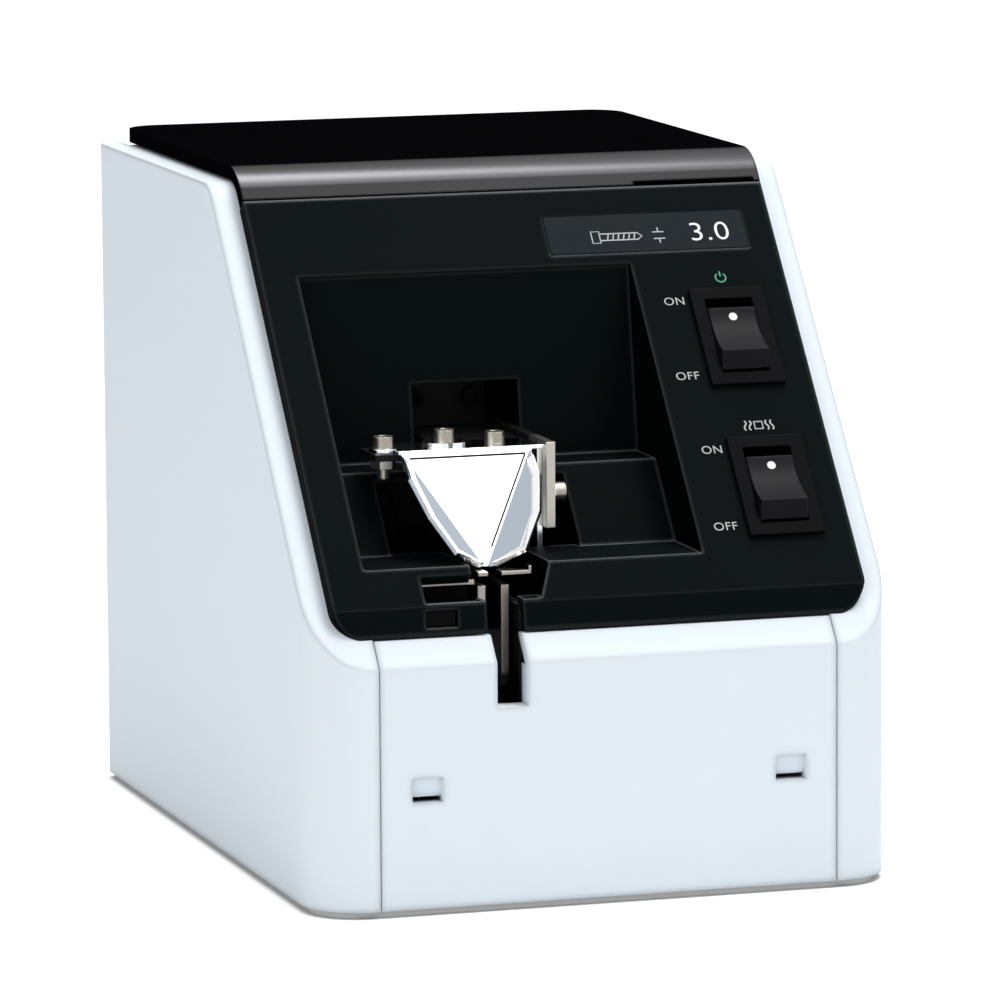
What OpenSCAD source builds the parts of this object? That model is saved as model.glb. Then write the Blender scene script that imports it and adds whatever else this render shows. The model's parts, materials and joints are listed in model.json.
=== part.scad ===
// Bench-top automatic screw feeder.
// X runs left to right, Y from front to back, Z up, in millimetres.
// Parts are drawn in the housing's own frame: X from the middle, Y from the front face,
// Z from the housing's lower edge. in_body() carries that frame to the part's origin.

/* [Show] */
// Sub-component to draw

/* [Housing] */
// Width of the housing
body_w = 128; // [120:1:140]
// Depth of the housing
body_d = 176; // [170:1:190]
// Height of the housing's top rim
body_h = 144.2; // [135:0.1:155]
// Height of the upright front face
front_h = 50.8; // [49:0.1:53]
// Angle of the sloping face from the horizontal
slope_deg = 49.6; // [48:0.1:52]
// Radius of the bend between slope and top
bend_r = 8; // [4:0.5:12]
// Side and back wall thickness
wall = 2.5; // [2:0.1:3.5]
// Thickness of the rim under panel and lid
rim_t = 3; // [2.5:0.1:4]
// White rim showing beside panel and lid
rim_w = 5.5; // [4:0.1:7]
// Radius of the upright front corners
corner_r = 12.5; // [8:0.5:16]
// Radius of the upright back corners
back_r = 4; // [2:0.5:8]

/* [Base] */
// Gap under the housing left by the rubber feet
foot_h = 1.5; // [1:0.1:3]
// Diameter of the rubber feet
foot_d = 12; // [8:0.5:16]
// Distance of the feet from the sides
foot_inset = 16; // [14:0.5:20]
// Distance of the front feet from the front face
foot_front = 18; // [15:0.5:24]
// Distance of the back feet from the back
foot_back = 14; // [11:0.5:20]
// Distance of the base screws from the sides
boss_inset = 8; // [7:0.1:10]
// Distance of the front base screws from the front face
boss_front = 22; // [19:0.5:28]
// Distance of the back base screws from the back
boss_back = 18; // [15:0.5:24]
// Thickness of the steel base plate
base_t = 2; // [1.5:0.1:3]
// Height of the base plate's underside in the housing
base_z = 0.6; // [0.4:0.1:2]

/* [Front cover] */
// Width of the removable front cover
cover_w = 100.6; // [96:0.1:104]
// Width of the seam round the cover
seam = 0.3; // [0.2:0.05:0.6]
// Distance up the slope at which cover meets panel
strip_s = 7.3; // [5:0.1:10]
// Width of the latch pockets
pocket_w = 6.8; // [5:0.1:9]
// Height of the latch pockets
pocket_h = 5.3; // [4:0.1:8]
// Distance of the latch pockets from the middle
pocket_x = 39.9; // [34:0.1:43]
// Height of the latch pockets' lower edge
pocket_z = 22.3; // [14:0.1:30]
// Lower end of the slot for the screw
slot_z = 41.5; // [38:0.1:44]
// Depth of the slot's side walls
slot_depth = 5; // [3.5:0.1:6]

/* [Front panel] */
// Height of the panel face above the slope
panel_h = 3.5; // [2.5:0.1:5]
// Distance up the slope of the panel's lower ridge
ridge_s = 12.6; // [11:0.1:14]
// Distance up the slope at which panel meets lid
panel_top_s = 115.5; // [112:0.1:117]
// Radius of the panel's lower corners
panel_r = 7; // [4:0.5:10]
// Left side of the recess
recess_x0 = -50; // [-51:0.1:-46]
// Right side of the recess
recess_x1 = 24.2; // [20:0.1:26]
// Lower edge of the recess up the slope
recess_s0 = 22; // [21:0.1:24]
// Upper edge of the recess up the slope
recess_s1 = 94.7; // [90:0.1:96]
// Depth of the sunken face below the panel face
recess_depth = 13; // [11:0.1:14]
// Height of the shelf over the sunken face
shelf_z = 85.8; // [84.5:0.1:87]
// Distance of the shelf's back edge from the front face
shelf_back = 54; // [52:0.1:56]
// Wall thickness of the recess
recess_t = 2; // [1.5:0.1:2.5]

/* [Lid] */
// Thickness of the smoked lid
lid_t = 3; // [2:0.1:4]
// Gap between lid and rim
lid_gap = 0.6; // [0.4:0.05:1]
// Gap between lid and panel
lid_seam = 0.3; // [0.2:0.05:0.6]
// Distance of the lid's back edge from the back of the housing
lid_inset = 1; // [0.5:0.1:2.5]
// Diameter of the hinge pins
pin_d = 1.8; // [1.5:0.1:2.5]
// Outer diameter of the hinge knuckles
knuckle_d = 4; // [3.5:0.1:4.4]
// Radial play of everything that turns or slides on a pin
play = 0.05; // [0.02:0.01:0.1]

/* [Switches and plates] */
// Width of a switch bezel
bezel_w = 16.6; // [15:0.1:18]
// Length of a switch bezel
bezel_l = 24.6; // [21:0.1:25.5]
// Height of a switch bezel
bezel_h = 1.2; // [0.8:0.1:2]
// Distance of the middle of both switches from the panel's side
switch_inset = 14.7; // [13:0.1:16.5]
// Middle of the power switch up the slope
power_s = 75.3; // [73:0.1:77]
// Middle of the vibration switch up the slope
vibration_s = 37.3; // [35:0.1:39]
// Width of a rocker
rocker_w = 10.4; // [9:0.1:12]
// Tilt of a rocker to either side
rocker_tilt = 11; // [8:0.5:13]
// Width of the size label plate
label_w = 45; // [40:0.5:46]
// Length of the size label plate up the slope
label_l = 9.8; // [8:0.1:11]
// Middle of the label plate up the slope
label_s = 103.3; // [101:0.1:106]

/* [Rail] */
// Middle of the rail across the housing
rail_x = -21.3; // [-23:0.1:-20]
// Width of the gap the screws hang in
screw_gap = 3.4; // [2.4:0.1:4]
// Thickness of a rail plate
rail_t = 1.7; // [1.4:0.1:2]
// Height of the rail's running surface
rail_top = 65; // [64:0.1:66]
// Height of a rail plate
rail_h = 22; // [20:0.5:23]
// Front end of the rail
rail_front = 13.5; // [12:0.1:16]
// Back end of the rail
rail_back = 150; // [146:0.5:152]
// Travel of the vibrating rail to either side
shake = 0.4; // [0.2:0.05:0.5]

/* [Bit guide] */
// Half width of the funnel's top edge
funnel_half = 14.2; // [12:0.1:15]
// Distance of the funnel's top edge from the front face
funnel_y = 30.5; // [29:0.1:32]
// Height of the funnel's top edge
funnel_z = 91.7; // [90:0.1:93]
// Thickness of the polished sheet
sheet_t = 0.8; // [0.5:0.1:1]
// Diameter of the guide's cap screws
cap_d = 2.5; // [2:0.1:3]

/* [Feed mechanism] */
// Distance of the lifter's middle from the front face
lifter_y = 120; // [118:0.5:122]
// Length of the lifter
lifter_l = 58; // [54:0.5:60]
// Thickness of the lifter
lifter_t = 7; // [6.4:0.1:7.4]
// Height of the lifter's edge at rest
lifter_z = 49.5; // [48:0.1:50.5]
// Travel of the lifter
stroke = 16; // [15:0.1:16.5]
// Cam turn that gives the whole travel, in degrees
lift_turn = 170; // [150:1:175]
// Height of the cam shaft
shaft_z = 26; // [25.5:0.1:27]
// Diameter of the cam shaft
shaft_d = 4; // [3:0.1:5]
// Smallest radius of the cam under the roller
cam_r = 6.1; // [5.5:0.1:6.5]
// Diameter of the follower roller
roller_d = 6; // [5:0.1:7]
// Diameter of the gear motor
motor_d = 24.4; // [22:0.1:26]
// Diameter of the lifter's guide rods
rod_d = 2.5; // [2:0.1:3]
// Height of the brush shaft
brush_z = 82; // [80:0.5:85]
// Tilt of the brush at rest
brush_tilt = 35; // [30:1:40]

/* [Hidden] */
$fn = 64;

shell_white = [0.93, 0.95, 0.97];
panel_black = [0.05, 0.06, 0.07];
smoke = [0.07, 0.06, 0.08];
chrome = [0.86, 0.87, 0.9];
steel = [0.66, 0.66, 0.68];
zinc = [0.58, 0.6, 0.6];
brass = [0.78, 0.65, 0.35];
rubber = [0.08, 0.08, 0.08];
nylon = [0.9, 0.88, 0.8];
board_green = [0.08, 0.32, 0.2];

eps = 0.01;
far = 200;
inner_w = body_w - 2 * wall;
opening_w = body_w - 2 * (rim_w + 5);
panel_w = body_w - 2 * rim_w;
lid_back = body_d - lid_inset;
switch_x = panel_w / 2 - switch_inset;
foot_x = body_w / 2 - foot_inset;
foot_rows = [foot_front, body_d - foot_back];
boss_x = body_w / 2 - boss_inset;
boss_rows = [boss_front, body_d - boss_back];
bend_y = (body_h - front_h) / tan(slope_deg);
base_top = base_z + base_t;
cover_top = front_h + strip_s * sin(slope_deg);
pin_y = lid_back - 2.4;
pin_z = body_h - 0.2;
knuckle_x = 40;
knuckle_w = 7.4;
relief_z = pin_z - 3.6;
rail_half = screw_gap / 2 + rail_t;
rail_foot = rail_top - rail_h;
slot_half = rail_half;
lifter_x = rail_x + rail_half + 1 + lifter_t / 2;
roller_r = roller_d / 2;
roller_z = shaft_z + cam_r + roller_r + 0.1;
cam_t = 3.6;
groove_w = cam_t + 0.8;
leg_y = lifter_l / 2 - 3;
brush_turn = 45;
bracket_z = funnel_z - sheet_t;
cheek_x = rail_x + 16.7;
panel_apex = [-21.5, 16.6, 67.9];

// Point [y, z] at distance s up the slope and height h above it.
function slope_pt(s, h) = [
    s * cos(slope_deg) - h * sin(slope_deg),
    front_h + s * sin(slope_deg) + h * cos(slope_deg)
];

// Y of the plane at height h above the slope, at height z.
function slope_y(z, h) = (z - front_h - h / cos(slope_deg)) / tan(slope_deg);

// Turns point p about Z and about Y.
function turn_z(p, a) = [p.x * cos(a) - p.y * sin(a), p.x * sin(a) + p.y * cos(a), p.z];
function turn_y(p, a) = [p.x * cos(a) + p.z * sin(a), p.y, p.z * cos(a) - p.x * sin(a)];

module in_body() {
    translate([0, -body_d / 2, foot_h]) children();
}

// Local Y runs up the slope from the edge of the front face, local Z stands on it.
module on_slope() {
    translate([0, 0, front_h]) rotate([slope_deg, 0, 0]) children();
}

// Runs a profile drawn in Y and Z along X.
module along_x(x0, x1) {
    translate([x0, 0, 0]) rotate([90, 0, 90]) linear_extrude(x1 - x0) children();
}

// Runs a profile drawn in X and Z along Y.
module along_y(y0, y1) {
    translate([0, y1, 0]) rotate([90, 0, 0]) linear_extrude(y1 - y0) children();
}

// Bar of round section along X, from x0 to x1.
module bar_x(x0, x1, y, z, d) {
    translate([x0, y, z]) rotate([0, 90, 0]) cylinder(d = d, h = x1 - x0);
}

// Bar of round section along Y, from y0 to y1.
module bar_y(y0, y1, x, z, d) {
    translate([x, y1, z]) rotate([90, 0, 0]) cylinder(d = d, h = y1 - y0);
}

// Box from one corner to the other.
module box(a, b) {
    translate(a) cube(b - a);
}

// Rectangle about the origin with rounded corners.
module rounded(w, l, r) {
    square([w, l - 2 * r], center = true);
    square([w - 2 * r, l], center = true);
    for (x = [-1, 1], y = [-1, 1]) {
        translate([x * (w / 2 - r), y * (l / 2 - r)]) circle(r);
    }
}

// What a rounded corner takes from a square one.
module corner_waste(r) {
    difference() {
        translate([-1, -1]) square(r + 1);
        translate([r, r]) circle(r);
    }
}

// Side view of the housing, every face moved inward by t.
module side_profile(t, floor_z, r) {
    shift = t / cos(slope_deg);
    low = front_h - shift + t * tan(slope_deg);
    top = body_h - t;
    y_bend = bend_y + (shift - t) / tan(slope_deg);
    run = r * tan(slope_deg / 2);
    difference() {
        polygon([[t, floor_z], [t, low], [y_bend, top], [body_d - t, top], [body_d - t, floor_z]]);
        difference() {
            polygon([
                [y_bend, top + 1],
                [y_bend + run, top + 1],
                [y_bend + run, top - r],
                [y_bend - run * cos(slope_deg), top - run * sin(slope_deg)],
                [y_bend - run * cos(slope_deg) - 1, top - run * sin(slope_deg) + 1]
            ]);
            translate([y_bend + run, top - r]) circle(r);
        }
    }
}

// Plan of the housing as an upright block, every side moved inward by t.
module plan_block(t, z0, z1) {
    r_front = corner_r - t;
    r_back = max(back_r - t, 0.5);
    translate([0, 0, z0]) linear_extrude(z1 - z0) difference() {
        translate([t - body_w / 2, t]) square([body_w - 2 * t, body_d - 2 * t]);
        for (side = [0, 1]) {
            mirror([side, 0]) translate([t - body_w / 2, t]) corner_waste(r_front);
            mirror([side, 0]) translate([t - body_w / 2, body_d - t]) mirror([0, 1]) corner_waste(r_back);
        }
    }
}

// Solid housing shape, every face moved inward by t.
module housing_block(t, floor_z) {
    intersection() {
        along_x(t - body_w / 2, body_w / 2 - t) side_profile(t, floor_z, bend_r);
        plan_block(t, floor_z, far);
    }
}

// Housing

module casing() {
    color(shell_white) in_body() difference() {
        union() {
            difference() {
                housing_block(0, 0);
                intersection() {
                    along_x(-inner_w / 2, inner_w / 2) side_profile(rim_t, -1, bend_r);
                    plan_block(wall, -1, far);
                }
                box([-opening_w / 2, -5, cover_top], [opening_w / 2, pin_y - 4.6, far]);
                box([-cover_w / 2, -5, -1], [cover_w / 2, 30, cover_top + eps]);
                box([-panel_w / 2 - 0.3, pin_y - 5, relief_z], [panel_w / 2 + 0.3, body_d + 1, far]);
            }
            for (side = [-1, 1]) {
                for (end = [-1, 1]) {
                    bar_x(side * knuckle_x + end * 7.4 - 3, side * knuckle_x + end * 7.4 + 3,
                        pin_y, pin_z, knuckle_d);
                    box([side * knuckle_x + end * 7.4 - 3, pin_y - 2, relief_z - 3],
                        [side * knuckle_x + end * 7.4 + 3, pin_y + 2, pin_z]);
                }
                for (y = boss_rows) {
                    translate([side * boss_x, y, base_top]) cylinder(d = 8, h = 14);
                    translate([side * (inner_w / 2 - 2.7) - 3, y - 4, base_top]) cube([6, 8, 14]);
                }
            }
        }
        for (side = [-1, 1]) {
            bar_x(side * knuckle_x - 12, side * knuckle_x + 12, pin_y, pin_z, pin_d);
            for (y = boss_rows) {
                translate([side * boss_x, y, 0]) cylinder(d = 3, h = 12);
            }
        }
        bar_y(body_d - 5, body_d + 1, 40, 20, 8.2);
    }
}

module base_plate() {
    color(zinc) in_body() difference() {
        plan_block(rim_t + 0.3, base_z, base_top);
        for (side = [-1, 1], y = boss_rows) {
            translate([side * boss_x, y, 0]) cylinder(d = 3.4, h = 5);
        }
        for (side = [-1, 1], y = foot_rows) {
            translate([side * foot_x, y, 0]) cylinder(d = 5, h = 5);
        }
        for (i = [0:7]) {
            translate([14, 46 + 7 * i, 0]) linear_extrude(5) rounded(30, 3, 1.4);
        }
        for (y = [lifter_y - leg_y, lifter_y + leg_y]) {
            translate([lifter_x, y, 0]) cylinder(d = rod_d, h = 5);
        }
    }
}

module rubber_feet() {
    color(rubber) in_body() for (side = [-1, 1], y = foot_rows) {
        translate([side * foot_x, y, -foot_h]) cylinder(d = foot_d, h = foot_h + base_z);
        translate([side * foot_x, y, 0]) cylinder(d = 5, h = base_top + 0.5);
        translate([side * foot_x, y, base_top]) cylinder(d = 6.6, h = 1.2);
    }
}

module base_screws() {
    color(steel) in_body() for (side = [-1, 1], y = boss_rows) {
        difference() {
            translate([side * boss_x, y, -1]) cylinder(d = 6, h = 1 + base_z);
            translate([side * boss_x - 2, y - 0.4, -1.1]) cube([4, 0.8, 0.9]);
            translate([side * boss_x - 0.4, y - 2, -1.1]) cube([0.8, 4, 0.9]);
        }
        translate([side * boss_x, y, 0]) cylinder(d = 3, h = 11);
    }
}

module front_cover() {
    half = cover_w / 2 - seam;
    color(shell_white) in_body() difference() {
        union() {
            difference() {
                housing_block(0, 0);
                along_x(-half + 2, half - 2) side_profile(wall, -1, 1);
                box([-half - 1, 14, -1], [half + 1, far, far]);
                box([-far, -1, -2], [-half, far, far]);
                box([half, -1, -2], [far, far, far]);
                box([-far, -5, cover_top - seam], [far, far, far]);
                box([-half - 1, 7, 4], [half + 1, 16, far]);
                box([-far, wall, -1], [far, far, base_top + 0.4]);
            }
            box([rail_x - slot_half - 2.4, 1, slot_z - 2.4], [rail_x + slot_half + 2.4, slot_depth, front_h - 1]);
            for (side = [-1, 1]) {
                box([side * pocket_x - pocket_w / 2 - 1.5, 1, pocket_z - 1.5],
                    [side * pocket_x + pocket_w / 2 + 1.5, 3.8, pocket_z + pocket_h + 1.5]);
            }
            box([-half, 1, 3], [half, 13, 4.6]);
        }
        box([rail_x - slot_half, -1, slot_z], [rail_x + slot_half, 20, far]);
        for (side = [-1, 1]) {
            box([side * pocket_x - pocket_w / 2, -1, pocket_z], [side * pocket_x + pocket_w / 2, 1.6, pocket_z + pocket_h]);
            box([side * pocket_x - pocket_w / 2, -1, pocket_z], [side * pocket_x + pocket_w / 2, 20, pocket_z + 1.2]);
        }
    }
}

// Section of the recess in the front panel, walls moved outward by t; it runs out past the face.
module recess_section(t) {
    face = slope_pt(recess_s0, panel_h);
    ledge = face.y - t;
    sunk = panel_h - recess_depth - t;
    shelf = shelf_z - t;
    roof = slope_pt(recess_s1, panel_h);
    out = t > 0 ? 0.5 : panel_h + 6;
    polygon([
        slope_pt(recess_s0 - t, out),
        [slope_y(ledge, out - t), ledge],
        [slope_y(ledge, sunk), ledge],
        [slope_y(shelf, sunk), shelf],
        [shelf_back + t, shelf],
        [roof.x + 1.8 + t, roof.y + t],
        slope_pt(recess_s1 + t, out)
    ]);
}

module front_panel() {
    half = panel_w / 2;
    color(panel_black) in_body() difference() {
        union() {
            intersection() {
                along_x(-half, half) polygon([
                    slope_pt(strip_s, 0), slope_pt(ridge_s, panel_h),
                    slope_pt(panel_top_s, panel_h), slope_pt(panel_top_s, 0)
                ]);
                on_slope() translate([0, (strip_s + panel_top_s) / 2 + 10, -5]) linear_extrude(20)
                    rounded(panel_w, panel_top_s - strip_s + 20.2, panel_r);
            }
            along_x(recess_x0 - recess_t, recess_x1 + recess_t) recess_section(recess_t);
            on_slope() for (side = [-1, 1], s = [recess_s0 - 9, recess_s1 + 8]) {
                translate([side * (opening_w / 2 - 1.2) - 0.8, s, -4]) cube([1.6, 6, 5]);
            }
            box([rail_x - slot_half - 2.4, slot_depth + 3.6, rail_foot - 2],
                [rail_x + slot_half + 2.4, 26, slope_pt(ridge_s, 0).y + 1]);
        }
        along_x(recess_x0, recess_x1) recess_section(0);
        box([rail_x - slot_half - 0.6, 4, rail_foot - 3], [rail_x + slot_half + 0.6, 30, far / 3]);
        box([rail_x - slot_half, -1, front_h], [rail_x + slot_half, 12, slope_pt(ridge_s, panel_h).y + 1]);
        intersection() {
            on_slope() translate([0, 0, -20]) linear_extrude(30)
                polygon([[-27, ridge_s - 1], [-13.9, ridge_s - 1], [-10, recess_s0 - 0.7], [-10, 36], [-27, 36]]);
            box([-far, -5, slope_pt(ridge_s, panel_h).y + 0.4], [far, 60, far]);
        }
        on_slope() translate([-38.3, ridge_s + 0.7, -4]) cube([12, 6.6, 20]);
        box([-39, 20, slope_pt(recess_s0, panel_h).y], [2.8, 46, shelf_z - recess_t]);
        box([-26, 50, 88.7], [-2.2, 62, 102.3]);
        box([-38.6, 3, 58.1], [-31.6, 12, 61.7]);
        for (s = [power_s, vibration_s]) {
            on_slope() translate([switch_x, s, -5]) linear_extrude(20) square([13.8, 20.2], center = true);
        }
        on_slope() translate([52 - label_w / 2, label_s, panel_h - 0.4]) linear_extrude(2)
            square([label_w, label_l], center = true);
    }
}

module lid() {
    half = panel_w / 2;
    lip = panel_top_s + lid_seam;
    mouth = slope_pt(lip, 0);
    color(smoke) in_body() difference() {
        union() {
            intersection() {
                along_x(-half, half) difference() {
                    intersection() {
                        side_profile(-lid_gap - lid_t, 100, bend_r + lid_gap + lid_t);
                        polygon([
                            slope_pt(lip, -1), slope_pt(lip, 20), [bend_y, far],
                            [lid_back, far], [lid_back, pin_z], [bend_y, pin_z - 20]
                        ]);
                    }
                    side_profile(-lid_gap, 90, bend_r + lid_gap);
                }
                translate([0, lid_back / 2, 100]) linear_extrude(100)
                    rounded(panel_w, lid_back, 8);
            }
            for (side = [-1, 1]) {
                bar_x(side * knuckle_x - knuckle_w / 2, side * knuckle_x + knuckle_w / 2, pin_y, pin_z, knuckle_d);
                box([side * knuckle_x - knuckle_w / 2, pin_y - 2, pin_z],
                    [side * knuckle_x + knuckle_w / 2, pin_y + 2, body_h + lid_gap + 1]);
            }
        }
        for (side = [-1, 1]) {
            bar_x(side * knuckle_x - 6, side * knuckle_x + 6, pin_y, pin_z, pin_d + 2 * play);
            for (end = [-1, 1]) {
                box([side * knuckle_x + end * 7.4 - 3.3, pin_y - 2.4, 100],
                    [side * knuckle_x + end * 7.4 + 3.3, far, pin_z + 2.5]);
            }
        }
        on_slope() translate([29.5, lip - 1, -2]) cube([27.5, 1.9, 20]);
    }
}

module hinge_pins() {
    color(steel) in_body() for (side = [-1, 1]) {
        bar_x(side * knuckle_x - 10.4, side * knuckle_x + 10.4, pin_y, pin_z, pin_d);
    }
}

// Panel fittings

module label_plate() {
    color([0.13, 0.14, 0.16]) in_body() on_slope() translate([52 - label_w / 2, label_s, panel_h - 0.4])
        linear_extrude(0.6) rounded(label_w - 0.2, label_l - 0.2, 0.6);
}

module sensor_window() {
    color([0.12, 0.02, 0.03]) in_body() {
        box([-38.4, 6, 58.3], [-31.8, 7.2, 61.5]);
    }
}

// Switch housing with its bezel on the panel face and three contact blades below.
module switch_housing(s) {
    color(panel_black) in_body() on_slope() translate([switch_x, s, panel_h]) difference() {
        union() {
            translate([-bezel_w / 2, -bezel_l / 2, 0]) cube([bezel_w, bezel_l, bezel_h]);
            translate([-6.7, -9.9, -16]) cube([13.4, 19.8, 16 + eps]);
            for (y = [-6.5, 0, 6.5]) {
                translate([-2, y - 0.4, -22]) cube([4, 0.8, 7]);
            }
        }
        translate([-rocker_w / 2 - 0.2, -9.5, -9.5]) cube([rocker_w + 0.4, 19, 20]);
        rotate([0, 90, 0]) translate([0, 0, -6.4]) cylinder(d = 2 + 2 * play, h = 12.8);
    }
}

// Rocker turned to its ON side: upper end in, lower end out.
module rocker(s) {
    color([0.07, 0.07, 0.08]) in_body() on_slope() translate([switch_x, s, panel_h]) {
        rotate([-rocker_tilt, 0, 0]) {
            along_x(-rocker_w / 2, rocker_w / 2) difference() {
                polygon([[-8.7, -0.6], [-6.3, 2.9], [6.3, 2.9], [8.7, -0.6], [3.6, -5.6], [-3.6, -5.6]]);
                translate([0, 18]) circle(16.35);
            }
            bar_x(-6.3, 6.3, 0, 0, 2);
        }
    }
}

module power_switch() {
    switch_housing(power_s);
}

module power_rocker() {
    rocker(power_s);
}

module vibration_switch() {
    switch_housing(vibration_s);
}

module vibration_rocker() {
    rocker(vibration_s);
}

// Screw hopper and rail

// Sloping ends of the hopper before and behind the lifter.
module hopper_ends() {
    along_x(-17, 32) polygon([[75, 47], [75, 66], [90.4, 58], [90.4, 47]]);
    along_x(-28, 32) polygon([[150.8, 47], [150.8, 60], [166, 74], [166, 47]]);
}

module hopper() {
    color(panel_black) in_body() difference() {
        union() {
            intersection() {
                box([-29.5, 74, 48], [33, 167, far]);
                along_x(-29.5, 33) side_profile(0.5, 0, bend_r);
            }
            intersection() {
                along_x(0.5 - opening_w / 2, opening_w / 2 - 0.5) difference() {
                    side_profile(0.4, 0, bend_r);
                    side_profile(2.6, -1, bend_r);
                }
                box([-far, 76.5, 120], [far, 167.4, far]);
            }
            for (y = [92, 156]) {
                box([-29.5, y, base_top], [-27.5, y + 8, 50]);
                translate([29, y + 4, base_top]) cylinder(d = 7, h = 60 - base_top);
            }
        }
        difference() {
            box([-27.5, 76, 48 - eps], [31, 165, far]);
            along_y(75, 166) polygon([[-28, 47], [-28, 70.5], [-25.6, 64.5], [-25.6, 47]]);
            hopper_ends();
        }
        box([-25.6, 73, 40], [-17, 77, 71]);
        for (x = [rail_x - 6, rail_x + 6]) {
            bar_y(73, 77, x, 75.5, cap_d);
        }
        for (x = [-21, -8]) {
            bar_y(73, 77, x, 97, cap_d);
        }
        bar_y(73, 77, rail_x, brush_z, 4);
    }
}

// Floor that slopes down to the lifter.
module hopper_floor() {
    color(panel_black) in_body() difference() {
        along_y(76, 165) polygon([[-9.3, 48], [-9.3, 51.8], [31, 63.85], [31, 48]]);
        hopper_ends();
    }
}

module passing_plate() {
    color(steel) in_body() difference() {
        box([rail_x - 9, 72.8, 68], [rail_x + 9, 74, 79]);
        box([rail_x - 3.2, 70, 67], [rail_x + 3.2, 76, 68.9]);
        for (x = [rail_x - 6, rail_x + 6]) {
            bar_y(70, 76, x, 75.5, cap_d);
        }
    }
}

// Cap screw standing on the origin, its shank of the given length below.
module cap_screw(len) {
    difference() {
        cylinder(d = 4.2, h = 2.5);
        translate([0, 0, 1.1]) cylinder(d = 2.3, h = 2, $fn = 6);
    }
    translate([0, 0, -len]) cylinder(d = cap_d, h = len + eps);
}

module passing_screws() {
    color(steel) in_body() for (x = [rail_x - 6, rail_x + 6]) {
        translate([x, 71.8, 75.5]) rotate([90, 0, 0]) cap_screw(4.2);
    }
}

// Rail plate on one side of the gap; side is -1 for left and 1 for right.
module rail_plate(side) {
    color(chrome) in_body() difference() {
        along_x(min(side * rail_half, side * screw_gap / 2) + rail_x,
            max(side * rail_half, side * screw_gap / 2) + rail_x) difference() {
            translate([rail_front, rail_foot]) square([rail_back - rail_front, rail_h]);
            translate([rail_front, rail_foot]) corner_waste(4);
        }
        for (y = [42, 90, 138]) {
            bar_x(rail_x - 10, rail_x + 10, y, rail_foot + 5, 3);
        }
    }
}

module rail_left() {
    rail_plate(-1);
}

module rail_right() {
    rail_plate(1);
}

module rail_base() {
    color(zinc) in_body() difference() {
        union() {
            box([rail_x - rail_half, 26, rail_foot - 6], [rail_x + rail_half, rail_back, rail_foot]);
            box([rail_x - screw_gap / 2, 28, rail_foot - 1], [rail_x + screw_gap / 2, rail_back, rail_foot + 10]);
            for (y = [36.5, 140.5]) {
                box([rail_x - rail_half, y, rail_foot - 12], [rail_x + rail_half, y + 6, rail_foot - 5]);
            }
            box([rail_x - rail_half - 4, 72, 23], [rail_x - rail_half, 88, rail_foot]);
        }
        for (y = [42, 90, 138]) {
            bar_x(rail_x - 10, rail_x + 10, y, rail_foot + 5, 3);
        }
        bar_x(-40, -20, 80, 30, 5);
    }
}

module rail_screws() {
    color(steel) in_body() for (y = [42, 90, 138]) {
        bar_x(rail_x - rail_half, rail_x + rail_half, y, rail_foot + 5, 3);
    }
}

module leaf_springs() {
    color(steel) in_body() for (y = [36, 140]) {
        box([rail_x - rail_half, y, 6], [rail_x + rail_half, y + 0.5, rail_foot - 6]);
    }
}

module spring_blocks() {
    color(zinc) in_body() for (y = [36.5, 140.5]) {
        box([rail_x - rail_half - 2, y, base_top], [rail_x + rail_half + 2, y + 8, 14]);
    }
}

module vibration_motor() {
    color(steel) in_body() {
        difference() {
            bar_x(-45, rail_x - rail_half - 4, 80, 30, 12.4);
            bar_x(-46, -42, 80, 30, 2 + 2 * play);
        }
        bar_x(rail_x - rail_half - 4 - eps, rail_x - rail_half - 2, 80, 30, 5);
    }
}

module eccentric_weight() {
    color(brass) in_body() {
        difference() {
            bar_x(-50, -45.6, 80, 30, 11);
            box([-51, 72, 30], [-45, 88, 40]);
        }
        bar_x(-50, -42.2, 80, 30, 2);
    }
}

// Cover strip over the rail with the two fingers that hold the screw heads down in front.
module head_guides() {
    left = rail_x - rail_half;
    right = rail_x + rail_half;
    color(chrome) in_body() difference() {
        union() {
            box([left - 1.9, 24, 67.3], [right + 1.9, 72.8, 68.1]);
            box([left - 0.3, 12, 67.3], [rail_x - 1.6, 25, 68.1]);
            box([rail_x + 1.4, 12, 67.3], [right + 1.5, 25, 68.1]);
            box([right + 1.1, 12, 67.3], [right + 4.5, 14.5, 68.1]);
            box([right + 3.9, 12, 67.3], [right + 4.5, 14.5, 69]);
            box([rail_x - 9, 71.8, 67.3], [rail_x - 3.4, 72.8, 79]);
            box([rail_x + 3.4, 71.8, 67.3], [rail_x + 9, 72.8, 79]);
            box([rail_x - 9, 68, 67.3], [rail_x + 9, 72.8, 68.1]);
        }
        for (x = [rail_x - 6, rail_x + 6]) {
            bar_y(70, 76, x, 75.5, cap_d);
        }
    }
}

// Lifter and its drive

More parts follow.
